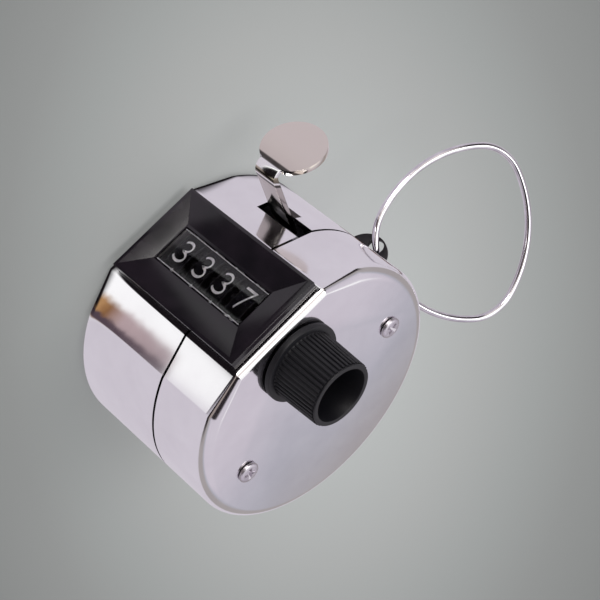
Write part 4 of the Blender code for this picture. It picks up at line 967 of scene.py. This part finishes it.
class KnobSettings(PropertyGroup):
    flange_radius: size("Flange Radius", "Radius of the knob's flange", 6.5)
    flange_thickness: size("Flange Thickness", "Thickness of the flange", 1.09)
    foot_radius: size("Foot Radius", "Radius over the ribs at the flange", 5.62)
    tip_radius: size("Tip Radius", "Radius over the ribs at the mouth", 5.38)
    length: size("Length", "Height of the knob above its seat", 9.0)
    bore_radius: size("Bore Radius", "Radius of the open bore", 4.4)
    bore_floor: size("Bore Floor", "Height of the bore's floor above the seat", 2.6)
    rib_count: IntProperty(name="Rib Count", description="Grip ribs round the knob", default=46, min=3)
    rib_radius: size("Rib Radius", "Radius of a rib's round back", 0.24)
    mouth_round: size("Mouth Round", "Rounding of the knob's turned edges", 0.18)


class LeverSettings(PropertyGroup):
    edge_round: size("Edge Round", "Rounding of the tumbled sheet edges", 0.25)


class RingSettings(PropertyGroup):
    arc_steps: IntProperty(name="Arc Steps", description="Steps along each arc", default=40, min=4)
    wire_sides: IntProperty(name="Wire Sides", description="Facets round the wire", default=20, min=6)
    lug_round: size("Lug Round", "Rounding of the lug's edges", 0.12)


class ScrewSettings(PropertyGroup):
    head_radius: size("Head Radius", "Radius of the pan head", 1.76)
    head_height: size("Head Height", "Height of the pan head", 0.75)
    first_turn: FloatProperty(name="First Turn", description="Turn of the first cross recess",
                              default=0.4, subtype="ANGLE")
    turn_step: FloatProperty(name="Turn Step", description="Further turn of the next cross recess",
                             default=0.7, subtype="ANGLE")


class StageSettings(PropertyGroup):
    floor_size: FloatProperty(name="Floor Size", description="Half width of the floor", default=3.0,
                              unit="LENGTH")
    soft_strength: FloatProperty(name="Soft Strength", description="Strength of the even light all round",
                                 default=0.85)
    key_power: FloatProperty(name="Key Power", description="Power of the soft key lamp", default=1.2)
    front_power: FloatProperty(name="Front Power", description="Power of the low lamp by the camera",
                               default=0.07)


SETTINGS = (
    ("tally_finishes", FinishSettings), ("tally_case", CaseSettings), ("tally_window", WindowSettings),
    ("tally_wheels", WheelSettings), ("tally_knob", KnobSettings), ("tally_lever", LeverSettings),
    ("tally_ring", RingSettings), ("tally_screws", ScrewSettings), ("tally_stage", StageSettings),
)


# Operators

class TALLY_OT_case(Operator):
    """Build the rear and front case cups"""
    bl_idname = "tally.case"
    bl_label = "Case Cups"

    def execute(self, context):
        props = context.scene.tally_case
        chrome = finish("chrome_plated_steel")
        rear = cup("rear_cup", 0.0, REAR_DEPTH - PARTING_GAP / 2, 1, props, rear_cutters(), chrome)
        holes = [round_cutter("bush_hole_cut", props.bush_hole, 0.0, SHAFT_OUT),
                 round_cutter("low_hole_cut", props.screw_hole, -POST_UP, POST_OUT),
                 round_cutter("high_hole_cut", props.screw_hole, POST_UP, POST_OUT),
                 window_cutter("front_window_cut")]
        front = cup("front_cup", CASE_DEPTH, REAR_DEPTH + PARTING_GAP / 2, -1, props, holes, chrome)
        settle(rear, "frame", ["rear_case"])
        settle(front, "frame", ["front_case"])
        return {"FINISHED"}


class TALLY_OT_window(Operator):
    """Build the window frame and its clear sheet"""
    bl_idname = "tally.window"
    bl_label = "Window Frame"

    def execute(self, context):
        moulded = window_frame(context.scene.tally_window, finish("gloss_black_plastic"))
        settle(moulded, "frame", ["window_bezel"])
        sheet = lens_sheet(context.scene.tally_window, finish("clear_acrylic"), finish("cut_acrylic"))
        settle(sheet, "frame", ["window_lens"])
        return {"FINISHED"}


class TALLY_OT_wheels(Operator):
    """Build the four printed number wheels"""
    bl_idname = "tally.wheels"
    bl_label = "Number Wheels"

    def execute(self, context):
        props = context.scene.tally_wheels
        for index, name in enumerate(SHOWN_DIGITS):
            wheel = number_wheel(name, index, props, finish("wheel_plastic"), finish("digit_ink"))
            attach(wheel, name)
        return {"FINISHED"}


class TALLY_OT_knob(Operator):
    """Build the reset knob and its grip ribs"""
    bl_idname = "tally.knob"
    bl_label = "Reset Knob"

    def execute(self, context):
        props = context.scene.tally_knob
        nylon = finish("matt_black_plastic")
        body = knob_body(props, nylon)
        base = CASE_DEPTH + SEAT_GAP
        ribs = grown_mesh("knob_grip_ribs", grip_rib_tree(), {
            "Count": props.rib_count, "Turn Step": 2 * pi / props.rib_count,
            "Foot Radius": props.foot_radius - props.rib_radius,
            "Foot Along": base + props.flange_thickness,
            "Tip Radius": props.tip_radius - props.rib_radius,
            "Tip Along": base + props.length - 2 * props.mouth_round,
            "Rib Radius": props.rib_radius, "Shaft Level": -SHAFT_OUT, "Material": nylon}, HEAD_ANGLE)
        settle(body, "reset", ["reset_knob"])
        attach(ribs, "reset")
        return {"FINISHED"}


class TALLY_OT_lever(Operator):
    """Build the bent thumb lever"""
    bl_idname = "tally.lever"
    bl_label = "Thumb Lever"

    def execute(self, context):
        lever = thumb_strip(context.scene.tally_lever, finish("nickel_plated_steel"))
        settle(lever, "lever", ["thumb_lever"])
        return {"FINISHED"}


class TALLY_OT_ring(Operator):
    """Build the finger ring and its lug"""
    bl_idname = "tally.ring"
    bl_label = "Finger Ring"

    def execute(self, context):
        props = context.scene.tally_ring
        settle(wire_loop(props, finish("ring_wire")), "ring", ["finger_ring"])
        lug = ring_lug(props, finish("black_oxide_steel"))
        settle(lug, "frame", ["ring_bracket"])
        return {"FINISHED"}


class TALLY_OT_screws(Operator):
    """Build the two cross-recess case screws"""
    bl_idname = "tally.screws"
    bl_label = "Case Screws"

    def execute(self, context):
        props = context.scene.tally_screws
        plate = finish("screw_plate")
        blank = screw_blank(props, plate)
        pair = grown_mesh("case_screws", screw_pair_tree(), {
            "Screw": blank, "Count": 2, "Reach": POST_UP, "Level": -POST_OUT,
            "Seat": CASE_DEPTH + SEAT_GAP / 2, "First Turn": props.first_turn,
            "Turn Step": props.turn_step, "Material": plate}, HEAD_ANGLE)
        bpy.data.objects.remove(blank, do_unlink=True)
        settle(pair, "frame", ["low_screw", "high_screw"])
        return {"FINISHED"}


class TALLY_OT_works(Operator):
    """Give the inner works their finishes"""
    bl_idname = "tally.works"
    bl_label = "Inner Works"

    def execute(self, context):
        slots = {part["node"]: part["material_slot"] for part in frame["record"]["subparts"]}
        for node, piece in frame["nodes"].items():
            for k in range(len(piece.material_slots)):
                piece.material_slots[k].material = finish(slots[node])
        return {"FINISHED"}


def soft_lamp(name, power, spot, aim, width, tint, spread):
    lamp = bpy.data.lights.new(name, "AREA")
    lamp.shape = "DISK"
    lamp.size = width
    lamp.energy = power
    lamp.color = tint
    lamp.spread = spread
    holder = added(bpy.data.objects.new(name, lamp))
    holder.location = spot
    holder.rotation_euler = (Vector(aim) - Vector(spot)).to_track_quat("-Z", "Y").to_euler()


def coated(tree, colour, coats):
    """Lay tones over a colour. A coat is a tone and its patches; a patch is soft edges (value, start, end).

    A patch covers where each of its values has passed from its start to its end."""
    add = partial(add_node, tree)
    for tone, *patches in coats:
        cover = None
        for edges in patches:
            patch = None
            for value, start, end in edges:
                edge = add("MapRange", {"Value": value, "From Min": start, "From Max": end},
                           interpolation_type="SMOOTHSTEP")
                patch = add("Math", {0: patch, 1: edge}, operation="MULTIPLY") if patch else edge
            cover = add("Math", {0: cover, 1: patch}, operation="MAXIMUM") if cover else patch
        colour = add("Mix", {0: cover, 6: colour, 7: tone}, data_type="RGBA")
    return colour


def floor_reflection(tree, coords):
    """Painted tones that the chrome reflects from the floor's glowing sheet, in millimetres along and
    across the case's low shoulder.
    """
    add = partial(add_node, tree)
    slant = add("Mapping", {
        "Vector": coords, "Rotation": (0.0, 0.0, CARD_TURN), "Scale": (1 / MM, 1 / MM, 1.0)})
    axes = add("SeparateXYZ", {"Vector": slant}).node.outputs
    along, across = axes["X"], axes["Y"]
    radius = add("VectorMath", {0: slant}, operation="LENGTH")
    beside = add("VectorMath", {0: coords, 1: PATCH_AXIS}, operation="DOT_PRODUCT")
    ragged = add("Math", {0: grown(tree, coords, speckle(0.5, 5.0, 0.7)), 1: 2.0, 2: -1.0},
                 operation="MULTIPLY_ADD")
    noisy, run = (add("Math", {0: value, 1: ragged}, operation="ADD") for value in (across, along))
    share = add("MapRange", {"Value": run, "From Min": 15.0, "From Max": 55.0})
    amber = add("ValToRGB", {"Fac": share}, AMBER_TONES)
    band = [(across, -2.0, -3.0), (along, 52.0, 47.0)]
    return coated(tree, "cfc9d2", (
        # white card painted on the sheet, giving the shoulder its painted highlight
        ("ffffff", [(across, -1.0, -5.0), (along, 16.0, 20.0), (along, 96.0, 84.0)]),
        # painted amber strip with a ragged edge between the card and the case, and the dark line along it:
        # painted reflections in the shoulder
        (amber, [(noisy, -7.6, -6.2), *band]),
        ("53454e", [(noisy, -4.6, -3.9), *band]),
        # painted shade: black under the window frame, round the case's foot where the floor would lie in
        # its shadow, and past the card's end
        ("151114", [(across, -11.5, -13.5), (beside, 12.0 * MM, 13.6 * MM)],
         [(radius, 24.5, 22.5), (across, -2.0, -5.0)], [(along, 84.0, 96.0), (across, -1.0, -5.0)])))


def floor_material():
    """Matt studio paper with a painted oval pool of light; the chrome sees it as unshaded glowing sheets
    with painted reflections and painted shade.
    """
    material, tree, shader, coords = new_material("matt studio paper")
    add = partial(add_node, tree)
    oval = add("Mapping", {
        "Vector": coords, "Location": POOL_MIDDLE, "Rotation": (0.0, 0.0, POOL_TURN), "Scale": POOL_REACH},
        vector_type="TEXTURE")
    reach = add("VectorMath", {0: oval}, operation="LENGTH")
    taper = add("VectorMath", {0: coords, 1: POOL_TAPER}, operation="DOT_PRODUCT")
    for operation, limit in (("ADD", POOL_TAPER_START), ("MAXIMUM", POOL_TAPER_LEAST)):
        taper = add("Math", {0: taper, 1: limit}, operation=operation)
    share = add("Math", {0: reach, 1: taper}, operation="DIVIDE")
    # painted pool of light: the paper's colour is lighter at the oval's middle and darker towards its edge
    paper = add("ValToRGB", {"Fac": share}, POOL_TONES)
    dimmed = add("VectorMath", {0: paper, "Scale": PAPER_SHARE}, operation="SCALE")
    # painted glow: the paper emits its own colour, which lightens the object's shadow on it
    connect(tree, shader, {"Base Color": dimmed, "Emission Color": paper, "Emission Strength": PAPER_GLOW,
                           "Roughness": 0.9, "Specular IOR Level": 0.1})
    # the chrome sees a glowing sheet of painted reflections and painted shade in place of the lit paper
    sheet = add("Emission", {"Color": floor_reflection(tree, coords)})
    mix = add("MixShader", {
        0: add("LightPath").node.outputs["Is Glossy Ray"], 1: shader.outputs[0], 2: sheet})
    tree.links.new(mix, tree.nodes["Material Output"].inputs["Surface"])
    return material


def soft_surround(props):
    """Even light, seen by metal as a tent: graded behind, white slot above, black flags at the camera."""
    world = bpy.data.worlds.new("soft_surround")
    world.use_nodes = True
    tree = world.node_tree
    add = partial(add_node, tree)
    direction = add("TexCoord")
    axes = add("SeparateXYZ", {"Vector": direction}).node.outputs
    side, behind, above = axes["X"], axes["Y"], axes["Z"]
    facing = add("VectorMath", {0: direction, 1: FLAG_AXIS}, operation="DOT_PRODUCT")
    tent = coated(tree, add("ValToRGB", {"Fac": above}, TENT_TONES), (
        # black flags low at the camera and above it
        ("1d1618", [(behind, 0.15, -0.3), (above, 0.28, 0.18)], [(facing, -0.66, -0.80)]),
        # grey streak beside them, white slot overhead, pale card in front
        ("9e918c", [(side, 0.2, 0.4), (behind, -0.3, -0.5), (above, 0.16, 0.26), (above, 0.48, 0.38)]),
        ("ffffff", [(side, -0.55, -0.35), (side, 0.15, 0.0), (above, 0.50, 0.62), (behind, 0.75, 0.6)]),
        ("f2eae6", [(side, -0.78, -0.70), (side, 0.28, 0.12), (behind, -0.5, -0.6)])))
    rays = add("LightPath").node.outputs
    colour = add("Mix", {0: rays["Is Camera Ray"], 6: "f4f4f5", 7: "8e8f8f"}, data_type="RGBA")
    colour = add("Mix", {0: rays["Is Glossy Ray"], 6: colour, 7: tent}, data_type="RGBA")
    level = add("MapRange", {
        "Value": rays["Is Glossy Ray"], "To Min": props.soft_strength, "To Max": 1.0})
    connect(tree, tree.nodes["Background"], {"Color": colour, "Strength": level})
    return world


class TALLY_OT_stage(Operator):
    """Build the floor, the light and the camera"""
    bl_idname = "tally.stage"
    bl_label = "Stage"

    def execute(self, context):
        props = context.scene.tally_stage
        half = props.floor_size
        mesh = bpy.data.meshes.new("studio_floor")
        mesh.from_pydata([(-half, -half, 0.0), (half, -half, 0.0), (half, half, 0.0), (-half, half, 0.0)],
                         [], [(0, 1, 2, 3)])
        mesh.materials.append(floor_material())
        floor = added(bpy.data.objects.new("studio_floor", mesh))
        context.scene.world = soft_surround(props)
        for name, (power, *values) in LAMPS.items():
            soft_lamp(name, getattr(props, power), *values)
        camera = bpy.data.cameras.new("photo_camera")
        camera.sensor_width = SENSOR_WIDTH
        camera.lens = CAMERA_LENS
        camera.clip_start = NEAR_CLIP
        holder = added(bpy.data.objects.new("photo_camera", camera))
        right = Vector(CAMERA_RIGHT).normalized()
        above = Vector(CAMERA_UP).normalized()
        back = right.cross(above).normalized()
        turn = Matrix((right, back.cross(right), back)).transposed().to_4x4()
        holder.matrix_world = Matrix.Translation(CAMERA_PLACE) @ turn
        context.scene.camera = holder
        context.scene.view_settings.view_transform = "Standard"
        return {"FINISHED"}


OPERATORS = (TALLY_OT_works, TALLY_OT_case, TALLY_OT_window, TALLY_OT_wheels, TALLY_OT_knob,
             TALLY_OT_lever, TALLY_OT_ring, TALLY_OT_screws, TALLY_OT_stage)


class TALLY_PT_build(Panel):
    bl_idname = "TALLY_PT_build"
    bl_label = "Tally Counter"
    bl_space_type = "VIEW_3D"
    bl_region_type = "UI"
    bl_category = "Tally"

    def draw(self, context):
        for operator in OPERATORS:
            self.layout.operator(operator.bl_idname)


def register():
    for name, group in SETTINGS:
        bpy.utils.register_class(group)
        setattr(bpy.types.Scene, name, PointerProperty(type=group))
    for operator in OPERATORS:
        bpy.utils.register_class(operator)
    bpy.utils.register_class(TALLY_PT_build)


def unregister():
    bpy.utils.unregister_class(TALLY_PT_build)
    for operator in reversed(OPERATORS):
        bpy.utils.unregister_class(operator)
    for name, group in reversed(SETTINGS):
        delattr(bpy.types.Scene, name)
        bpy.utils.unregister_class(group)


def main():
    register()
    bpy.ops.tally.works()
    bpy.ops.tally.case()
    bpy.ops.tally.window()
    bpy.ops.tally.wheels()
    bpy.ops.tally.knob()
    bpy.ops.tally.lever()
    bpy.ops.tally.ring()
    bpy.ops.tally.screws()
    bpy.ops.tally.stage()


if __name__ == "__main__":
    main()
